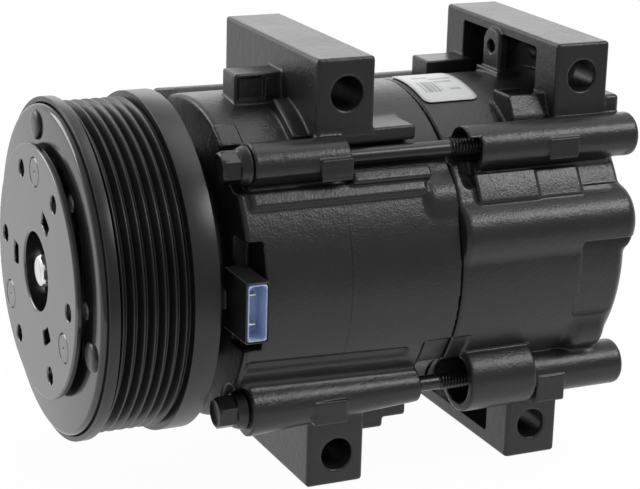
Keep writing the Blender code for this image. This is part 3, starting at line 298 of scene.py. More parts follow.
class Form:
    """Distance field of a piece, below zero inside: shapes joined or cut in order, each only near itself."""

    def __init__(self, low, high, step):
        self.step, self.shapes = step, []
        self.low = np.asarray(low, float) - 3 * step
        counts = np.ceil((np.asarray(high, float) - self.low) / step).astype(int) + 4
        self.axes = [start + step * np.arange(count) for start, count in zip(self.low, counts)]
        self.field = np.full(counts, FAR, np.float32)

    def merge(self, shape, blend, adding):
        """Join a shape to the field on the grid or cut it out, and keep it for points off the grid."""
        distance, low, high = shape
        margin = 2 * blend + 3 * self.step
        low, high = np.asarray(low) - margin, np.asarray(high) + margin
        self.shapes.append((distance, low, high, blend, adding))
        picks = tuple(slice(*np.searchsorted(axis, ends)) for axis, ends in zip(self.axes, zip(low, high)))
        grid = np.meshgrid(*(axis[pick] for axis, pick in zip(self.axes, picks)), indexing="ij", sparse=True)
        self.field[picks] = merged(self.field[picks], distance(*grid), blend, adding)

    def add(self, *shapes, blend=0.0, both=False, adding=True):
        """Join shapes in turn with a fillet; both puts each on the other side of the shaft too."""
        for shape in shapes:
            for side in (shape, mirrored(shape)) if both else (shape,):
                self.merge(side, blend, adding)

    def cut(self, *shapes, blend=0.0, both=False):
        """Cut shapes out in turn, as add joins them."""
        self.add(*shapes, blend=blend, both=both, adding=False)

    def value(self, points):
        """Field at any points, worked out from the shapes themselves."""
        field = np.full(len(points), FAR)
        for distance, low, high, blend, adding in self.shapes:
            near = np.flatnonzero(((points > low) & (points < high)).all(axis=1))
            field[near] = merged(field[near], distance(*points[near].T), blend, adding)
        return field

    def slope(self, points):
        """Direction in which the field grows, from differences a third of a cell to each side."""
        reach = self.step / 3
        shifts = reach * np.eye(3)
        return np.stack([self.value(points + shift) - self.value(points - shift) for shift in shifts],
                        axis=1) / (2 * reach)

    def surface(self):
        """Closed surface where the field is zero: one point in each cell that the surface crosses, the mean of its
        edge crossings drawn onto the zero level, and one quad round each crossed edge."""
        inside = self.field < 0
        cells = np.array(self.field.shape) - 1
        sums, hits, quads = np.zeros((cells.prod(), 3)), np.zeros(cells.prod()), []
        for axis in range(3):
            first = tuple(slice(None, -1) if k == axis else slice(None) for k in range(3))
            after = tuple(slice(1, None) if k == axis else slice(None) for k in range(3))
            crossed = inside[first] != inside[after]
            edge = np.argwhere(crossed)
            near, far = self.field[first][crossed], self.field[after][crossed]
            place = edge.astype(float)
            place[:, axis] += near / (near - far)
            one, two = (axis + 1) % 3, (axis + 2) % 3
            ring = []
            for back_one, back_two in ((0, 0), (1, 0), (1, 1), (0, 1)):
                cell = edge.copy()
                cell[:, one] -= back_one
                cell[:, two] -= back_two
                index = np.ravel_multi_index(cell.T, cells)
                ring.append(index)
                hits += np.bincount(index, minlength=len(hits))
                for k in range(3):
                    sums[:, k] += np.bincount(index, place[:, k], len(hits))
            ring = np.stack(ring, axis=1)
            outwards = near < 0
            quads.append(np.where(outwards[:, None], ring, ring[:, ::-1]))
        used = np.flatnonzero(hits)
        number = np.zeros(len(hits), int)
        number[used] = np.arange(len(used))
        points = self.low + self.step * sums[used] / hits[used, None]
        for _ in range(3):
            slope = self.slope(points)
            size = np.maximum((slope ** 2).sum(1), 0.05)
            points -= np.clip(self.value(points) / size, -0.6, 0.6)[:, None] * slope
        return points, number[np.concatenate(quads)], self.normals

    def normals(self, points):
        """Unit vectors square to the surface."""
        slope = self.slope(points)
        return slope / np.maximum(np.linalg.norm(slope, axis=1, keepdims=True), 1e-9)


# ---- surfaces of two parameters ----


def corners_rounded(profile, radius):
    """Profile with each corner replaced by a curve in three steps that touches both sides."""
    points = np.asarray(profile, float)
    before, after = np.roll(points, 1, axis=0) - points, np.roll(points, -1, axis=0) - points
    share = np.linspace(0, 1, 4)[:, None]
    result = []
    for point, one, two in zip(points, before, after):
        size_one, size_two = np.hypot(*one), np.hypot(*two)
        one, two = one / size_one, two / size_two
        angle = math.acos(np.clip(one @ two, -1, 1))
        reach = min(radius / max(math.tan(angle / 2), 1e-6), 0.45 * size_one, 0.45 * size_two)
        start, stop = point + one * reach, point + two * reach
        result.append((1 - share) ** 2 * start + 2 * share * (1 - share) * point + share ** 2 * stop)
    return np.concatenate(result)


def grid_quads(rows, columns, wrap_rows):
    """Quads of a grid of points whose columns close round and whose rows may."""
    row = np.arange(rows if wrap_rows else rows - 1)[:, None]
    column = np.arange(columns)[None, :]
    below, aside = (row + 1) % rows, (column + 1) % columns
    corners = (row * columns + column, below * columns + column, below * columns + aside, row * columns + aside)
    return np.stack(corners, axis=-1).reshape(-1, 4)


def full_turn(steps):
    """Angles of one turn, as one row."""
    return np.linspace(0, 2 * math.pi, steps, endpoint=False)[None, :]


def swept(x, radius, y=0.0, z=0.0, closed=False):
    """Rings along x: y and z are the radius, an array of rows by angles, times minus cosine and sine of the angle.
    The last row joins the first when closed; otherwise the end rows close to a point."""
    turn = full_turn(radius.shape[1])
    points = np.stack((np.broadcast_to(np.asarray(x)[:, None], radius.shape),
                       y - radius * np.cos(turn), z + radius * np.sin(turn)), axis=-1)
    return points.reshape(-1, 3), grid_quads(*radius.shape, closed), None


def turned(profile, segments, y=0.0, z=0.0):
    """Closed profile of (x, radius) points carried round a line along x."""
    x, radius = np.asarray(profile, float).T
    return swept(x, radius[:, None] * np.ones((1, segments)), y, z, True)


def bolt_head(rows, half, turn):
    """x and radius of the rings of a head, from rows of x, radius and a mark. A marked ring is cut by the hexagon,
    whose radius is half its width across flats over the cosine of the angle from the middle of the nearest flat."""
    x, limit, cornered = (np.array(column) for column in zip(*rows))
    hexagon = half / np.cos((turn + math.pi / 6) % (math.pi / 3) - math.pi / 6)
    radius = np.where(cornered[:, None] == 1, np.minimum(hexagon, limit[:, None]), limit[:, None])
    return x, radius * np.ones_like(turn)


def thinned(mesh, most):
    """The mesh with edges collapsed, in its flattest places first, down to a number of triangles."""
    triangles = sum(len(face.vertices) - 2 for face in mesh.polygons)
    if triangles <= most:
        return mesh
    name, holder = mesh.name, bpy.data.objects.new("thinning", mesh)
    bpy.context.scene.collection.objects.link(holder)
    holder.modifiers.new("Thin", "DECIMATE").ratio = most / triangles
    made = bpy.data.meshes.new_from_object(holder.evaluated_get(bpy.context.evaluated_depsgraph_get()))
    bpy.data.objects.remove(holder)
    bpy.data.meshes.remove(mesh)
    made.name = name
    return made


def places(mesh):
    """Vertices of a mesh, in millimetres about the shaft."""
    spots = np.empty(len(mesh.vertices) * 3, np.float32)
    mesh.vertices.foreach_get("co", spots)
    return (spots.reshape(-1, 3) - ORIGIN) / MM


def piece(name, surface, finish, body, nodes=()):
    """Mesh object of a surface, turned outwards, in the frame, with its finish and the body it rides on.
    A surface is its points, its quads and the function of its normals, or None where sharp edges are split."""
    points, quads, normals = surface
    corner = points[quads]
    one, two = corner[:, 2] - corner[:, 0], corner[:, 3] - corner[:, 1]
    if (np.cross(one, two) * corner.mean(1)).sum() < 0:
        quads = quads[:, ::-1]
    mesh = bpy.data.meshes.new(name)
    mesh.vertices.add(len(points))
    mesh.vertices.foreach_set("co", (points * MM + ORIGIN).astype(np.float32).ravel())
    mesh.loops.add(quads.size)
    mesh.loops.foreach_set("vertex_index", quads.astype(np.int32).ravel())
    mesh.polygons.add(len(quads))
    mesh.polygons.foreach_set("loop_start", np.arange(0, quads.size, 4, dtype=np.int32))
    mesh.update(calc_edges=True)
    if normals is None:
        builder = bmesh.new()
        builder.from_mesh(mesh)
        bmesh.ops.remove_doubles(builder, verts=builder.verts, dist=SAME_PLACE)
        bmesh.ops.dissolve_degenerate(builder, edges=builder.edges, dist=SAME_PLACE)
        builder.to_mesh(mesh)
        builder.free()
    mesh.validate()
    mesh = thinned(mesh, MOST_TRIANGLES)
    mesh.polygons.foreach_set("use_smooth", np.ones(len(mesh.polygons), bool))
    if normals is None:
        mesh.set_sharp_from_angle(angle=SHARP_EDGE)
    else:
        mesh.normals_split_custom_set_from_vertices(normals(places(mesh)).tolist())
    mesh.materials.append(finish)
    made = bpy.data.objects.new(name, mesh)
    bpy.context.scene.collection.objects.link(made)
    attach(made, body)
    if nodes:
        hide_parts(*nodes)
    return made


# ---- materials ----


class Value:
    """A socket of a node tree; arithmetic on it adds Math nodes."""

    def __init__(self, tree, socket):
        self.tree, self.socket = tree, socket

    def math(self, operation, *items, clamp=False):
        node = self.tree.nodes.new("ShaderNodeMath")
        node.operation, node.use_clamp = operation, clamp
        for slot, item in zip(node.inputs, items):
            if isinstance(item, Value):
                self.tree.links.new(item.socket, slot)
            else:
                slot.default_value = item
        return Value(self.tree, node.outputs[0])

    def __add__(self, other):
        return self.math("ADD", self, other)

    def __sub__(self, other):
        return self.math("SUBTRACT", self, other)

    def __rsub__(self, other):
        return self.math("SUBTRACT", other, self)

    def __mul__(self, other):
        return self.math("MULTIPLY", self, other)

    def __truediv__(self, other):
        return self.math("DIVIDE", self, other)

    def __lt__(self, other):
        return self.math("LESS_THAN", self, other)

    def __gt__(self, other):
        return self.math("GREATER_THAN", self, other)

    def __abs__(self):
        return self.math("ABSOLUTE", self)

    def clamped(self):
        return self.math("ADD", self, 0.0, clamp=True)

    __radd__, __rmul__ = __add__, __mul__


class Nodes:
    """Node tree of a material or of the surround."""

    def __init__(self, tree):
        self.tree = tree

    def node(self, kind, output=0, sockets=(), **settings):
        """Any node: its type, the output to take, values or links of its sockets by name or number, its settings."""
        made = self.tree.nodes.new(kind)
        for key, value in settings.items():
            setattr(made, key, value)
        for key, value in dict(sockets).items():
            if isinstance(value, Value):
                self.tree.links.new(value.socket, made.inputs[key])
            else:
                made.inputs[key].default_value = value
        return Value(self.tree, made.outputs[output])

    def parts(self, vector):
        """x, y and z of a vector."""
        made = self.tree.nodes.new("ShaderNodeSeparateXYZ")
        self.tree.links.new(vector.socket, made.inputs[0])
        return [Value(self.tree, socket) for socket in made.outputs]

    def ray(self, kind):
        """1 for a ray of that kind, 0 for any other."""
        return self.node("ShaderNodeLightPath", f"Is {kind} Ray")


class Finish(Nodes):
    """One procedural material: constants go on the shader's own sockets, patterns through nodes."""

    def __init__(self, name, **constants):
        self.material = bpy.data.materials.new(name)
        self.material.use_nodes = True
        super().__init__(self.material.node_tree)
        self.shader = self.tree.nodes["Principled BSDF"]
        for socket, value in constants.items():
            self.shader.inputs[socket.replace("_", " ")].default_value = value

    def place(self):
        """Object coordinates in metres about the shaft."""
        spot = self.node("ShaderNodeTexCoord", "Object")
        return self.node("ShaderNodeVectorMath", sockets={0: spot, 1: tuple(ORIGIN)}, operation="SUBTRACT")

    def round_shaft(self, spot, stretch=1.0):
        """Distance from the shaft and stretched x, so that noise on it runs in rings."""
        x, y, z = self.parts(spot)
        radius = self.node("ShaderNodeMath", sockets={0: y * y + z * z}, operation="SQRT")
        return self.node("ShaderNodeCombineXYZ", sockets={0: radius, 1: x * stretch})

    def noise(self, spot, grain, detail=2.0):
        """Noise from 0 to 1 whose grains are about that many millimetres."""
        return self.node("ShaderNodeTexNoise", "Fac", {
            "Vector": spot, "Scale": 1.0 / (grain * MM), "Detail": detail, "Roughness": 0.55}, noise_dimensions="3D")

    def specks(self, spot, grain):
        """1 on the few highest grains of a noise, 0 elsewhere."""
        return ((self.noise(spot, grain, 0.0) - 0.82) * 30.0).clamped()

    def mix(self, share, one, two):
        """Colour between two colours."""
        one, two = (c if isinstance(c, Value) else (*c, 1.0) for c in (one, two))
        return self.node("ShaderNodeMix", 2, {0: share, 6: one, 7: two}, data_type="RGBA")

    def shades(self, share, colour, dark, light):
        """Colour between two shades of one colour."""
        return self.mix(share, lighter(colour, dark), lighter(colour, light))

    def bump(self, height, strength, depth):
        """Bump of a height pattern, with its depth in millimetres."""
        self.feed(Normal=self.node("ShaderNodeBump", sockets={
            "Height": height, "Strength": strength, "Distance": depth * MM}))

    def feed(self, **links):
        """Link patterns to the shader."""
        for socket, value in links.items():
            self.tree.links.new(value.socket, self.shader.inputs[socket.replace("_", " ")])
        return self.material


def lighter(colour, factor):
    """The colour made lighter or darker."""
    return tuple(min(channel * factor, 1.0) for channel in colour)


def cast_paint(name, colour, seam_x=None):
    """Black paint over a sand casting: grains of 0.8 and 3.5 mm under it, patchy gloss and a few dust specks.
    seam_x draws the fine parting line of the mould round the body there."""
    finish = Finish(name, IOR=1.46)
    spot = finish.place()
    fine, broad, patches = finish.noise(spot, 0.8, 3.0), finish.noise(spot, 3.5), finish.noise(spot, 22.0, 3.0)
    tone = finish.shades(patches, colour, 0.7, 1.35)
    height = fine * 0.45 + broad * 0.55
    rough = 0.22 + patches * 0.12 + fine * 0.08
    if seam_x is not None:
        x, y, z = finish.parts(spot)
        line = (abs(x - seam_x * MM) < 0.25 * MM) * (abs(z) < 30.0 * MM)
        tone = finish.mix(line, tone, lighter(colour, 0.25))
        height = height - line * 2.0
    finish.bump(height, 0.6, 0.4)
    return finish.feed(Base_Color=finish.mix(finish.specks(spot, 0.9), tone, lighter(colour, 2.0)), Roughness=rough)


def turned_paint(name, colour, rough, ior=1.5):
    """Gloss black on turned steel: faint rings round the shaft, soft clouds in the gloss and a few dust specks."""
    finish = Finish(name, IOR=ior)
    spot = finish.place()
    rings, clouds = finish.noise(finish.round_shaft(spot, 0.6), 0.7), finish.noise(spot, 9.0, 3.0)
    tone = finish.shades(clouds, colour, 0.85, 1.15)
    finish.bump(rings * 0.5 + finish.noise(spot, 0.9) * 0.5, 0.12, 0.12)
    return finish.feed(Base_Color=finish.mix(finish.specks(spot, 1.6), tone, lighter(colour, 2.2)),
                       Roughness=rough * (0.8 + clouds * 0.3 + rings * 0.1))


def machined(name, colour, rough):
    """Machined or plated metal: rings round the shaft in gloss and tone."""
    finish = Finish(name, Metallic=1.0)
    spot = finish.place()
    rings, clouds = finish.noise(finish.round_shaft(spot), 0.5), finish.noise(spot, 6.0)
    finish.bump(rings, 0.15, 0.05)
    return finish.feed(Base_Color=finish.shades(clouds, colour, 0.88, 1.06),
                       Roughness=rough * (0.75 + rings * 0.3 + clouds * 0.2))


def moulded(name, colour, rough, grain=0.6):
    """Moulded plastic or rubber: fine even grain and slight shading."""
    finish = Finish(name)
    spot = finish.place()
    fine, clouds = finish.noise(spot, grain), finish.noise(spot, 5.0)
    finish.bump(fine, 0.15, 0.08)
    return finish.feed(Base_Color=finish.shades(clouds, colour, 0.9, 1.1), Roughness=rough + fine * 0.12)


def printed_paper(name, colour):
    """Glossy paper with four plain grey bars and one striped block, placed by shares of its length and its arc."""
    finish = Finish(name)
    x, arc = finish.parts(finish.node("ShaderNodeUVMap", uv_map="flat"))[:2]

    def block(middle_x, half_x, middle_arc, half_arc):
        return (abs(x - middle_x) < half_x) * (abs(arc - middle_arc) < half_arc)
    stripes = finish.node("ShaderNodeTexNoise", "Fac", {"W": x * 26.0, "Scale": 1.0, "Detail": 0.0},
                          noise_dimensions="1D")
    striped = block(0.34, 0.17, 0.62, 0.16) * (stripes > 0.48)
    thin = block(0.68, 0.20, 0.36, 0.03) + block(0.66, 0.16, 0.48, 0.025)
    pale = block(0.36, 0.14, 0.28, 0.04) + block(0.74, 0.10, 0.72, 0.03)
    ink = (striped * 0.8 + thin * 0.65 + pale * 0.55).clamped()
    fibre = finish.noise(finish.place(), 0.8)
    finish.bump(fibre, 0.1, 0.05)
    return finish.feed(Base_Color=finish.mix(ink, colour, (0.16, 0.17, 0.18)), Roughness=0.32 + fibre * 0.12)


# ---- pieces ----


def sizes():
    return bpy.context.scene.compressor_castings


def colours():
    return bpy.context.scene.compressor_colours


def ends(node):
    """Lowest and highest x of a solid."""
    return [corner[0] for corner in extent(node)]


def bolt_places(circle):
    """y and z of the four through bolts, numbered as the solids are."""
    return [polar(BOLT_ANGLE + 90.0 * k, circle) for k in range(4)]


class COMPRESSOR_OT_front_casting(Operator):
    """Front housing with its nose, bosses, two lugs and cast details"""
    bl_idname = "compressor.front_casting"
    bl_label = "Front casting"

    def execute(self, context):
        size = sizes()
        body, circle, boss, corner = size.body_radius, size.bolt_circle, size.boss_radius, size.lug_corner
        nose = ends("front_housing")[0]
        boss_end, upper_end = -73.9, -39.3
        form = Form((nose, -61.0, -76.4), (0.0, 61.0, 75.0), size.grid_step)
        form.add(drum(-78.2, -0.3, body, (1.6, 0.3)))
        form.cut(patch(-10.6, 5.0, -60.0, -24.6, 55.2, 64.0, 0.8),
                 drum(-11.6, 3.0, 13.5, (4.0, 0.3), *polar(-BOLT_ANGLE, 66.0)), blend=0.8, both=True)
        form.add(drum(-87.5, -70.0, 36.0, 2.5), blend=3.0)
        form.add(drum(nose, -80.0, 19.0, 0.8), blend=5.0)
        form.add(bar(-48.6, -27.4, -39.8, 39.6, 48.0, 75.0, corner),
                 bar(-48.4, -27.2, -39.8, 39.6, -76.3, -46.0, corner), blend=2.0)
        # bosses, their feet, ridges, shelf, hump, steps by the lower lug and top pad, each with its fillet
        for shape, blend in (
                (cone(boss_end, upper_end, boss - 0.6, boss - 1.0, 0.8, *polar(BOLT_ANGLE, circle)), 1.6),
                (cone(boss_end, -9.2, boss + 1.4, boss - 2.2, 0.8, *polar(-BOLT_ANGLE, circle)), 3.5),
                (bar(-51.0, upper_end, -50.6, -40.0, 36.5, 44.0, 0.5), 0.4),
                (bar(-51.0, -38.7, -50.6, -40.0, -48.8, -40.5, 0.5), 0.4),
                (patch(-74.5, -11.0, 31.0, 37.2, 50.0, 57.8, 1.0), 1.6),
                (patch(-38.6, -9.2, 35.3, 39.7, 50.0, 60.4, 1.2), 0.8),
                (bar(-48.0, -11.5, -39.6, -12.0, 45.4, 50.4, 0.9), 1.2),
                (drum(-13.5, -0.3, 12.0, (5.0, 0.3), *polar(30.0, 45.6)), 1.2),
                (bar(-30.0, -17.0, -34.0, -24.0, -60.0, -44.0, 0.8), 0.8),
                (bar(-30.0, -8.2, -34.0, -24.0, -56.6, -40.0, 0.8), 0.8),
                (patch(-80.4, -72.0, 53.0, 63.0, 50.0, 59.4, 0.8), 0.8)):
            form.add(shape, blend=blend, both=True)
        form.add(bar(-65.8, -46.0, -11.6, 0.0, 46.0, 65.3, 0.8), blend=1.0)
        form.add(patch(-54.5, -46.0, 54.0, 74.0, 50.0, 60.0, 0.8), blend=0.8)
        form.cut(bar(-64.6, -55.0, -13.0, -10.6, 56.4, 64.0, 0.4), blend=0.3)
        for y, z in bolt_places(circle):
            form.cut(drum(-95.0, boss_end, boss + 0.8, 0.8, y, z), blend=0.6)
            form.cut(drum(-80.0, 5.0, 3.6, 0.3, y, z))
        # creases beside the bosses
        form.cut(patch(-73.0, upper_end, 37.2, 38.6, 55.6, 62.0, 0.4),
                 patch(-76.0, -17.0, -27.6, -24.4, 54.9, 60.0, 0.8, -0.045), blend=2.2, both=True)
        # lug bores, room for the connector, inside, nose bore and shaft bore
        for x, z, radius in ((-37.4, 62.9, 5.7), (-37.2, -65.2, 5.6)):
            form.cut(cross_drum(-60.0, 60.0, radius, x, z), blend=1.2)
        form.cut(bar(-95.0, -72.2, -70.0, -41.0, -17.6, 19.4, 1.0), blend=0.6)
        form.cut(drum(-50.9, 5.0, size.bore_radius, 0.4), tube(-59.5, -50.0, 22.0, 46.3, 0.8))
        form.cut(drum(-130.0, nose + 12.0, 14.5, 0.3), drum(-130.0, 5.0, 8.6, 0.3))
        piece("front_casting", form.surface(), cast_paint("front_cast_paint", colours().casting, -41.1), "casing",
              ["front_housing"])
        return {"FINISHED"}


class COMPRESSOR_OT_rear_casting(Operator):
    """Rear housing with its ports, bosses, two lugs and cast details"""
    bl_idname = "compressor.rear_casting"
    bl_label = "Rear casting"

    def execute(self, context):
        size = sizes()
        body, circle, boss, corner = size.body_radius, size.bolt_circle, size.boss_radius, size.lug_corner
        port = ends("rear_housing")[1]
        end = port + 1.1
        form = Form((0.0, -61.0, -77.0), (port + 1.2, 61.0, 74.5), size.grid_step)
        # leaning pad, the two lugs and the pockets in them
        form.add(bar(27.8, 44.2, -36.4, -21.5, 42.0, 56.1, 0.6))
        form.cut(lean_face((26.0, -38.0, 40.0), (46.0, -28.0, 58.0), -32.6, 56.1, -28.0), blend=0.5)
        form.add(bar(42.2, 63.1, -39.7, 41.0, 47.0, 74.5, corner), bar(30.5, 50.9, -39.7, 40.0, -77.0, -46.0, corner))
        form.cut(bar(38.0, 59.0, -25.2, 27.4, 40.0, 70.6, 1.0), bar(26.0, 45.3, -24.6, 24.6, -71.8, -40.0, 1.0))
        y, z = polar(BOLT_ANGLE, circle)
        form.add(drum(4.4, end, boss - 0.3, (0.6, 1.6), y, z - 0.6),
                 drum(7.2, 33.2, boss + 4.1, (1.0, 1.4), y, 0.4 - z),
                 drum(8.9, end, boss + 0.1, (0.8, 1.6), y, -z - 1.4), blend=0.5, both=True)
        form.cut(bar(-5.0, 9.0, y - 20.0, y + 3.5, z - 20.0, z + 3.6, 2.0), blend=0.6, both=True)
        form.add(drum(0.35, 67.6, body, (1.2, 8.0)), blend=1.0)
        # hollows at the joint and for the bolts
        form.cut(patch(-5.0, 7.2, -60.0, -24.6, 55.2, 64.0, 0.8),
                 drum(-3.0, 7.2, 13.5, (0.3, 0.6), *polar(-BOLT_ANGLE, 66.0)),
                 drum(3.5, 8.9, 9.0, (2.0, 0.6), *polar(37.0, 62.4)),
                 drum(3.0, 17.0, 8.4, 1.0, y, -z), blend=0.6, both=True)
        # bulge, corner pad, feet of the bosses, ridge in two heights and lower hump, each with its fillet
        for shape, blend in (
                (drum(0.4, port - 2.0, 12.6, (2.0, 4.0), *polar(15.5, 47.4)), 1.2),
                (bar(60.0, 68.8, -39.4, -27.0, 44.0, 55.2, 1.6), 1.0),
                (bar(35.0, 46.8, -50.5, -40.0, 36.7, 44.2, 0.5), 0.4),
                (bar(35.4, 46.9, -50.8, -40.0, -52.4, -42.4, 0.5), 0.4),
                (patch(7.5, 31.0, 25.0, 35.8, 50.0, 58.0, 0.8), 1.2),
                (patch(30.0, 48.5, 25.0, 35.4, 50.0, 57.2, 0.8), 1.2),
                (drum(48.0, 62.5, 8.8, 4.0, *polar(-32.0, 50.8)), 2.4)):
            form.add(shape, blend=blend, both=True)
        # far pad, eyelet on the upper lug and port pad
        form.add(bar(24.4, 43.5, 21.5, 34.2, 42.0, 57.3, 0.6), blend=0.8)
        form.add(drum(43.0, 61.0, 5.4, 0.8, 3.6, 66.0), tab(40.6, 44.6, -2.4, 9.4, 50.0, 72.2, 5.4, 0.6),
                 bar(39.2, 46.0, -4.4, 11.4, 50.0, 57.6, 0.5), blend=0.8)
        form.add(tab(60.0, port, -45.0, 45.0, -11.0, 11.0, 6.0, 0.5), blend=0.8)
        # groove and trays, then the tray of the leaning pad and the hole of the eyelet
        for hollow, blend in (
                (patch(12.0, 68.0, 36.0, 37.4, 54.6, 62.0, 0.4), 0.8),
                (patch(49.6, 66.0, 28.2, 36.4, 53.8, 62.0, 0.8), 0.6),
                (patch(47.2, 75.0, -21.5, 8.2, 55.1, 62.0, 0.5), 0.5)):
            form.cut(hollow, blend=blend, both=True)
        form.cut(bar(29.0, 41.9, -31.6, -22.7, 53.9, 60.0, 0.4), blend=0.4)
        form.cut(drum(38.0, 48.0, 2.3, 0.3, 3.6, 65.6), blend=0.5)
        for y, z in bolt_places(circle):
            form.cut(drum(-5.0, 62.5, 3.6, 0.3, y, z), drum(-5.0, 15.0, 6.0, 1.5, y, z), blend=0.5)
        # lug bores, the web in the upper one, the inside, two ports and the hole between them
        for x, z, radius in ((52.7, 62.8, 5.4), (40.6, -65.1, 5.2)):
            form.cut(cross_drum(-60.0, 60.0, radius, x, z), blend=1.2)
        form.add(cross_drum(27.6, 29.8, 7.0, 52.7, 62.8))
        form.cut(drum(-5.0, 51.1, size.bore_radius, 0.4), tube(50.0, 59.6, 22.0, 46.3, 0.8),
                 drum(45.0, 53.1, 8.6, 0.3))
        for y in (-34.0, 34.0):
            form.cut(drum(52.0, 80.0, 7.5, 0.3, y, 0.0), blend=0.6)
        form.cut(drum(60.5, 80.0, 3.4, 0.3), blend=0.6)
        piece("rear_casting", form.surface(), cast_paint("rear_cast_paint", colours().casting), "casing",
              ["rear_housing"])
        return {"FINISHED"}


class COMPRESSOR_OT_pulley(Operator):
    """Pulley with six belt grooves, a front flange and a smooth rear band"""
    bl_idname = "compressor.pulley"
    bl_label = "Pulley"

    def execute(self, context):
        size = context.scene.compressor_clutch
        flange, rib, root, pitch = size.flange_radius, size.rib_radius, size.root_radius, size.rib_pitch
        front, friction, band, rear = -126.08, -123.78, -97.66, -88.76
        web, stop, hub_end = -118.78, -115.28, -92.98
        first, neck, recess, coil_side, hub, seat, bore = -120.98, 54.8, 56.55, 49.2, 36.6, 32.8, 30.8
        grooves = [(first - 0.3, rib), (first + 0.24, rib)]
        for k in range(6):
            middle = first + (k + 0.5) * pitch
            grooves += [(middle - 0.3, root), (middle + 0.3, root),
                        (middle + pitch / 2 - 0.24, rib), (middle + pitch / 2 + 0.24, rib)]
        outside = [(front, recess), (front, flange), (front + 3.5, flange), (front + 4.1, neck)] + grooves + [
            (band - 0.9, neck), (band - 0.1, neck), (band, flange), (rear, flange)]
        inside = [(rear, coil_side), (web, coil_side), (web, hub), (hub_end, hub), (hub_end, seat), (stop, seat),
                  (stop, bore), (friction, bore), (friction, recess)]
        piece("pulley_rim", turned(corners_rounded(outside + inside, 0.25), size.segments),
              turned_paint("pulley_paint", colours().pulley, 0.34), "belt_pulley", ["pulley"])
        return {"FINISHED"}


class COMPRESSOR_OT_armature(Operator):
    """Armature plate and its three raised stops"""
    bl_idname = "compressor.armature"
    bl_label = "Armature"

    def execute(self, context):
        size = context.scene.compressor_clutch
        top, rear = ends("armature_plate")
        front, radius, bore, bend, chamfer = top + 1.4, size.armature_radius, 20.0, 1.6, 0.3
        edge = [(front + bend * (1 - math.cos(t)), radius - bend * (1 - math.sin(t)))
                for t in np.linspace(0, math.pi / 2, 7)]
        profile = [(front, bore + chamfer), *edge, (rear - chamfer, radius), (rear, radius - chamfer),
                   (rear, bore), (front + chamfer, bore)]
        piece("armature_disc", turned(profile, size.segments),
              turned_paint("armature_paint", colours().clutch, 0.13, 1.65), "clutch_armature",
              ["armature_plate"])
        dark = moulded("stop_rubber", colours().rubber, 0.22)
        reach = 5.1
        dome = [(top, 0.0), (top + 0.05, 2.6), (top + 0.3, 4.2), (top + 0.7, 4.9), (top + 1.1, reach),
                (front + 0.2, reach), (front + 0.2, 0.0)]
        for number in range(3):
            piece(f"armature_stop_{number + 1}", turned(dome, 48, *polar(102.3 + 120.0 * number, 49.1)), dark,
                  "clutch_armature")
        return {"FINISHED"}


class COMPRESSOR_OT_hub(Operator):
    """Hub plate with its holes, slots, cup and rivets, and the bolt in the cup"""
    bl_idname = "compressor.hub"
    bl_label = "Hub"

    def execute(self, context):
        size = context.scene.compressor_clutch
        front, back = ends("hub_plate")
        rear, cup, outside = front + 2.4, size.cup_radius, size.hub_radius
        rivets = [polar(90.0 + 120.0 * k, 34.5) for k in range(3)]
        form = Form((front, -outside, -outside), (back, outside, outside), 0.5)
        form.add(drum(front, rear, outside, 0.5), drum(front + 1.0, back, cup + 2.8, 0.8), blend=1.0)
        form.cut(drum(front - 5.0, back - 5.2, cup, 0.8), blend=0.8)
        form.cut(drum(front, back + 5.0, 6.5, 0.3))
        above, below = front - 3.0, rear + 3.0
        for k in range(6):
            form.cut(drum(above, below, 3.0, 0.3, *polar(-5.5 + 60.0 * k, 35.4)), blend=0.5)
        for k, rivet in enumerate(rivets):
            slot = 60.0 + 120.0 * k
            form.cut(patch(above, below, slot - 9.4, slot + 9.4, 20.0, 25.0, 0.4), blend=0.3)
            form.cut(drum(above, front + 0.95, 5.05, 0.3, *rivet), blend=0.2)
            form.cut(drum(above, below, 2.3, 0.3, *rivet))
        finish = turned_paint("hub_paint", colours().clutch, 0.13, 2.1)
        piece("hub_disc", form.surface(), finish, "rotor", ["hub_plate"])
        head, shank, lip = 4.85, 2.0, front + 0.85
        for number, rivet in enumerate(rivets, start=1):
            tail = ends(f"hub_rivet_{number}")[1]
            profile = [(front + 0.35, 0.0), (front + 0.35, 0.4), (front + 0.05, 0.75), (front + 0.05, head - 0.3),
                       (front + 0.3, head), (lip, head), (lip, shank), (tail, shank), (tail, 0.0)]
            piece(f"rivet_{number}", turned(profile, 48, *rivet), finish, "rotor",
                  [f"hub_rivet_{number}"])
        start, stop = ends("hub_bolt")
        rows = [(start + x, radius, cornered) for x, radius, cornered in (
            (0.3, 0.0, 0), (0.3, 2.4, 0), (0.0, 3.0, 0), (0.0, 4.4, 0), (0.4, 5.1, 1), (0.9, 5.7, 1), (3.0, 5.8, 1),
            (5.8, 5.8, 1), (6.1, 6.4, 0), (6.5, 7.6, 0), (6.9, 8.0, 0), (7.6, 8.0, 0), (7.7, 7.8, 0), (7.7, 3.0, 0))]
        piece("hub_bolt_zinc", swept(*bolt_head(rows + [(stop, 3.0, 0), (stop, 0.0, 0)], 5.0, full_turn(96))),
              machined("hub_bolt_plating", colours().zinc, 0.3), "rotor", ["hub_bolt"])
        return {"FINISHED"}


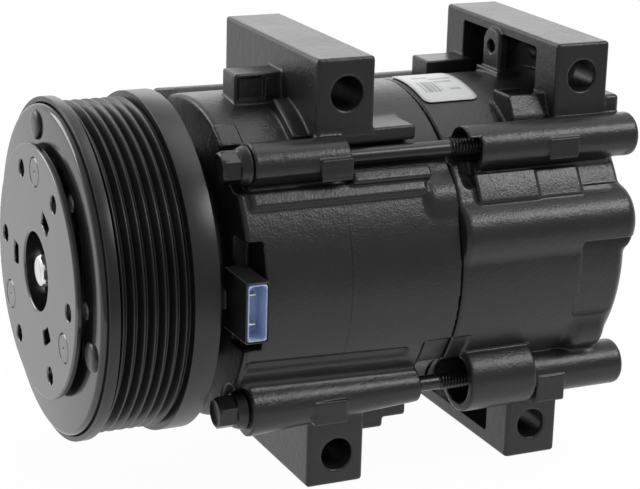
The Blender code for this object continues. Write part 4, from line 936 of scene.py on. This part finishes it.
class COMPRESSOR_OT_coil(Operator):
    """Steel core of the field coil, open towards the pulley"""
    bl_idname = "compressor.coil"
    bl_label = "Field coil"

    def execute(self, context):
        front, rear = ends("field_coil_core")
        floor, bore, inner, inner_wall, outer_wall, outer = rear - 2.9, 19.3, 37.2, 39.2, 46.6, 48.6
        profile = corners_rounded([
            (rear, bore), (rear, outer), (front, outer), (front, outer_wall), (floor, outer_wall),
            (floor, inner_wall), (front, inner_wall), (front, inner), (floor, inner), (floor, bore)], 0.4)
        piece("coil_core", turned(profile, context.scene.compressor_clutch.segments),
              turned_paint("coil_paint", colours().pulley, 0.45), "casing", ["field_coil_core"])
        return {"FINISHED"}


class COMPRESSOR_OT_through_bolts(Operator):
    """Four long bolts with flanged hexagon heads, bare shanks and a helical thread"""
    bl_idname = "compressor.through_bolts"
    bl_label = "Through bolts"

    def execute(self, context):
        size = context.scene.compressor_bolts
        finish = turned_paint("bolt_paint", colours().bolt, 0.3)
        turn = full_turn(48)
        flange, seat, bare_end, thread_start, thread_end = -77.68, -74.28, -1.0, -0.8, 15.0
        wide, shank, pitch = size.flange_radius, size.shank_radius, size.pitch
        for number, (y, z) in enumerate(bolt_places(sizes().bolt_circle), start=1):
            front, tip = ends(f"through_bolt_{number}")
            x, head = bolt_head([
                (front + 0.3, 0.0, 0), (front + 0.3, 3.4, 0), (front, 4.0, 0), (front, 4.7, 0), (front + 0.4, 5.2, 1),
                (front + 0.9, 5.75, 1), (front + 3.0, 5.8, 1), (flange - 0.3, 5.8, 1), (flange, 5.9, 0),
                (flange + 0.7, 6.2, 0), (flange + 1.9, wide - 0.2, 0), (flange + 2.4, wide, 0), (seat - 0.2, wide, 0),
                (seat, wide - 0.2, 0), (seat, shank, 0), (bare_end, shank, 0)], size.across_flats / 2, turn)
            # the crest climbs one pitch in each turn and fades in over the first 1.2 mm
            thread_x = np.arange(thread_start, thread_end, pitch / 8)
            phase = (thread_x[:, None] / pitch - turn / (2 * math.pi)) % 1.0
            crest = np.clip(1.6 * (1 - np.abs(2 * phase - 1)) - 0.2, 0, 1)
            fade = np.clip((thread_x[:, None] - thread_start) / 1.2, 0, 1)
            rise = size.thread_radius - shank
            thread = shank + fade * (rise - (rise + 0.55) * (1 - crest))
            end = np.array([(thread_end + 0.2, shank), (tip - 0.6, shank), (tip, 2.2), (tip, 0.0)])
            radius = np.concatenate((head, thread, end[:, 1:] * np.ones_like(turn)))
            piece(f"through_bolt_{number}_black", swept(np.concatenate((x, thread_x, end[:, 0])), radius, y, z),
                  finish, "casing", [f"through_bolt_{number}"])
        return {"FINISHED"}


class COMPRESSOR_OT_connector(Operator):
    """Plug socket of the coil: black shell, blue liner and two blades"""
    bl_idname = "compressor.connector"
    bl_label = "Connector"

    def execute(self, context):
        low, high = extent("connector_shell")
        x0, x1 = high[0] - 8.2, high[0]
        mouth, back, half = low[1], high[1], high[2]
        form = Form(low, high, 0.35)
        form.add(bar(x0, x1, mouth, back, -half, half, 0.8))
        form.add(bar(low[0], x0 + 2.0, back - 3.6, back - 1.0, -3.2, 3.2, 0.6), blend=0.8)
        form.cut(bar(x0 + 0.5, x1 - 0.5, mouth - 4.0, back - 6.8, 0.5 - half, half - 0.5, 0.8), blend=0.2)
        piece("connector_housing", form.surface(), moulded("connector_black", colours().plastic, 0.3), "casing",
              ["connector_shell"])
        end = extent("connector_insert")[1][1]
        left, right, top, floor, wall = x0 + 0.6, x1 - 0.6, half - 0.6, mouth + 9.0, 0.6
        form = Form((left, mouth, -top), (right, end, top), 0.3)
        form.add(bar(left, right, mouth + 0.1, end, -top, top, 0.9))
        form.cut(bar(left + wall, right - wall, mouth - 4.0, floor, wall - top, top - wall, 1.6), blend=0.3)
        piece("connector_liner", form.surface(), moulded("connector_blue", colours().blue, 0.3), "casing",
              ["connector_insert"])
        plating = machined("terminal_plating", colours().zinc, 0.25)
        middle, wide, thick = (x0 + x1) / 2 - 0.2, 1.3, 0.4
        for number, z in ((1, 5.0), (2, -5.0)):
            low = middle - wide, mouth + 4.4, z - thick
            high = middle + wide, floor + 2.0, z + thick
            form = Form(low, high, 0.2)
            form.add(bar(low[0], high[0], low[1], high[1], low[2], high[2], 0.2))
            piece(f"terminal_blade_{number}", form.surface(), plating, "casing",
                  [f"connector_terminal_{number}"])
        return {"FINISHED"}


class COMPRESSOR_OT_label(Operator):
    """Label with rounded corners, laid on the rear housing"""
    bl_idname = "compressor.label"
    bl_label = "Label"

    def execute(self, context):
        start, stop = ends("label")
        stop -= 1.8
        radius, corner, rings, steps, thickness = 56.35, 2.6, 9, 96, 0.2
        first, last = math.radians(69.0), math.radians(98.0)
        half = np.array((stop - start, (last - first) * radius)) / 2
        turn = full_turn(steps)[0]
        outline = np.stack((np.cos(turn), np.sin(turn)), axis=1) * half.max() * 2
        # draw a wide circle in to the rounded rectangle, then fill it with rings laid round the body
        for _ in range(40):
            inner = np.clip(outline, corner - half, half - corner)
            past = outline - inner
            size = np.linalg.norm(past, axis=1, keepdims=True)
            outline = np.where(size > corner, inner + past * corner / np.maximum(size, 1e-9), outline)
        share = np.linspace(0, 1, rings)[:, None, None]
        flat = (share * outline).reshape(-1, 2)
        angle = (first + last) / 2 + flat[:, 1] / radius
        points = np.stack(((start + stop) / 2 + flat[:, 0], -radius * np.cos(angle), radius * np.sin(angle)), axis=1)
        made = piece("paper_label", (points, grid_quads(rings, steps, False), None),
                     printed_paper("label_paper", colours().paper), "casing", ["label"])
        mesh = made.data
        layer = mesh.uv_layers.new(name="flat")
        spots = places(mesh)
        arc = np.arctan2(spots[:, 2], -spots[:, 1])
        uv = np.stack(((spots[:, 0] - start) / (stop - start), (last - arc) / (last - first)), axis=1)
        loops = np.zeros(len(mesh.loops), np.int32)
        mesh.loops.foreach_get("vertex_index", loops)
        layer.data.foreach_set("uv", uv[loops].astype(np.float32).ravel())
        wall = made.modifiers.new("thickness", "SOLIDIFY")
        wall.thickness, wall.offset = thickness * MM, 1.0
        return {"FINISHED"}


class COMPRESSOR_OT_inner_finishes(Operator):
    """Finishes of the solids that show as they are: inner works, springs, bearings and seals"""
    bl_idname = "compressor.inner_finishes"
    bl_label = "Inner finishes"

    def execute(self, context):
        tone = colours()
        made = {
            "steel": machined("ground_steel", tone.steel, 0.3),
            "aluminium": machined("machined_aluminium", tone.aluminium, 0.4),
            "rubber": moulded("seal_rubber", tone.rubber, 0.6),
            "resin": moulded("coil_resin", tone.resin, 0.45, 1.2),
        }
        kinds = {
            "aluminium": ("piston_", "front_cylinder", "rear_cylinder"),
            "rubber": ("shaft_seal", "housing_seal"),
            "resin": ("field_coil_winding",),
        }
        for name, solid in frame["nodes"].items():
            kind = next((key for key, starts in kinds.items() if name.startswith(starts)), "steel")
            solid.data.materials.clear()
            solid.data.materials.append(made[kind])
        return {"FINISHED"}


class COMPRESSOR_OT_stage(Operator):
    """Floor, soft light, white surround and camera"""
    bl_idname = "compressor.stage"
    bl_label = "Stage"

    def execute(self, context):
        scene = context.scene
        stage = scene.compressor_stage
        scene.view_settings.view_transform = "Standard"
        floor = bpy.data.meshes.new("floor")
        reach, front, ground_z = 6.0, -0.26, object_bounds()[0].z
        floor.from_pydata([(-reach, front, ground_z), (reach, front, ground_z), (reach, reach, ground_z),
                           (-reach, reach, ground_z)], [], [(0, 1, 2, 3)])
        # the camera and mirror rays see the floor nearly white; other rays see its paper
        paper = Finish("floor_paper", Roughness=0.9, IOR=1.2, Base_Color=(*stage.floor, 1.0))
        seen = paper.ray("Camera")
        for kind in ("Glossy", "Transmission"):
            seen = seen.math("MAXIMUM", seen, paper.ray(kind))
        blend = paper.node("ShaderNodeMixShader", sockets={
            0: seen * stage.floor_white, 1: Value(paper.tree, paper.shader.outputs[0]),
            2: paper.node("ShaderNodeEmission")})
        paper.tree.links.new(blend.socket, paper.tree.nodes["Material Output"].inputs[0])
        floor.materials.append(paper.material)
        ground = bpy.data.objects.new("floor", floor)
        scene.collection.objects.link(ground)
        ground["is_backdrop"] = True
        # the surround is white to the camera, dimmer in front for mirror rays, and ambient light for the rest
        world = bpy.data.worlds.new("surround")
        scene.world = world
        world.use_nodes = True
        sky = Nodes(world.node_tree)
        sky.tree.nodes.clear()
        seen = sky.ray("Camera")
        mirror = seen.math("MAXIMUM", sky.ray("Glossy"), sky.ray("Transmission"))
        depth = sky.parts(sky.node("ShaderNodeTexCoord", "Generated"))[1]
        behind = ((depth + 0.35) / 0.9).clamped()
        room = stage.front_dim + behind * (1.0 - stage.front_dim)
        strength = stage.ambient * (1.0 - seen) * (1.0 - mirror) + seen + mirror * room
        light = sky.node("ShaderNodeBackground", sockets={"Strength": strength, "Color": (1.0, 1.0, 1.0, 1.0)})
        sky.tree.links.new(light.socket, sky.tree.nodes.new("ShaderNodeOutputWorld").inputs[0])
        middle = np.array((0.0, 0.0, 0.075))
        for name, power, place, width, height in (
                ("top_light", stage.top_power, (0.32, 0.05, 0.95), 0.6, 0.4),
                ("key_light", stage.key_power, (0.62, -0.56, 0.78), 0.5, 0.27),
                ("back_light", stage.back_power, (0.45, 1.05, 0.45), 1.0, 0.5),
                ("left_light", stage.left_power, (-0.75, 0.75, 0.6), 0.7, 0.7)):
            lamp = bpy.data.lights.new(name, "AREA")
            lamp.shape, lamp.size, lamp.size_y, lamp.energy = "RECTANGLE", width, height, power
            holder = bpy.data.objects.new(name, lamp)
            scene.collection.objects.link(holder)
            away = np.array(place) - middle
            holder.location = place
            flat = math.hypot(away[0], away[1])
            holder.rotation_euler = (math.atan2(flat, away[2]), 0.0, math.atan2(away[1], away[0]) + math.pi / 2)
        lens = bpy.data.cameras.new("camera")
        lens.lens, lens.sensor_width, lens.sensor_fit = stage.lens, 36.0, "HORIZONTAL"
        lens.clip_start, lens.clip_end = 0.01, 50.0
        camera = bpy.data.objects.new("camera", lens)
        camera.location = stage.camera_at
        camera.rotation_euler = [math.radians(turn) for turn in stage.camera_turn]
        scene.collection.objects.link(camera)
        scene.camera = camera
        return {"FINISHED"}


class COMPRESSOR_PT_panel(Panel):
    """The steps of the build, in order"""
    bl_idname = "COMPRESSOR_PT_panel"
    bl_label = "Compressor"
    bl_space_type = "VIEW_3D"
    bl_region_type = "UI"
    bl_category = "Compressor"

    def draw(self, context):
        for step in STEPS:
            self.layout.operator(step.bl_idname)


STEPS = (
    COMPRESSOR_OT_inner_finishes, COMPRESSOR_OT_front_casting, COMPRESSOR_OT_rear_casting, COMPRESSOR_OT_pulley,
    COMPRESSOR_OT_armature, COMPRESSOR_OT_hub, COMPRESSOR_OT_coil, COMPRESSOR_OT_through_bolts,
    COMPRESSOR_OT_connector, COMPRESSOR_OT_label, COMPRESSOR_OT_stage,
)
GROUPS = {"compressor_castings": CastingSizes, "compressor_clutch": ClutchSizes, "compressor_bolts": BoltSizes,
          "compressor_colours": FinishColours, "compressor_stage": StageSettings}


def register():
    for group in GROUPS.values():
        bpy.utils.register_class(group)
    for name, group in GROUPS.items():
        setattr(bpy.types.Scene, name, PointerProperty(type=group))
    for step in (*STEPS, COMPRESSOR_PT_panel):
        bpy.utils.register_class(step)


def unregister():
    for step in (COMPRESSOR_PT_panel, *reversed(STEPS)):
        bpy.utils.unregister_class(step)
    for name, group in GROUPS.items():
        delattr(bpy.types.Scene, name)
        bpy.utils.unregister_class(group)


def main():
    """Build every piece and the stage."""
    register()
    for step in STEPS:
        package, name = step.bl_idname.split(".")
        getattr(getattr(bpy.ops, package), name)()


if __name__ == "__main__":
    main()
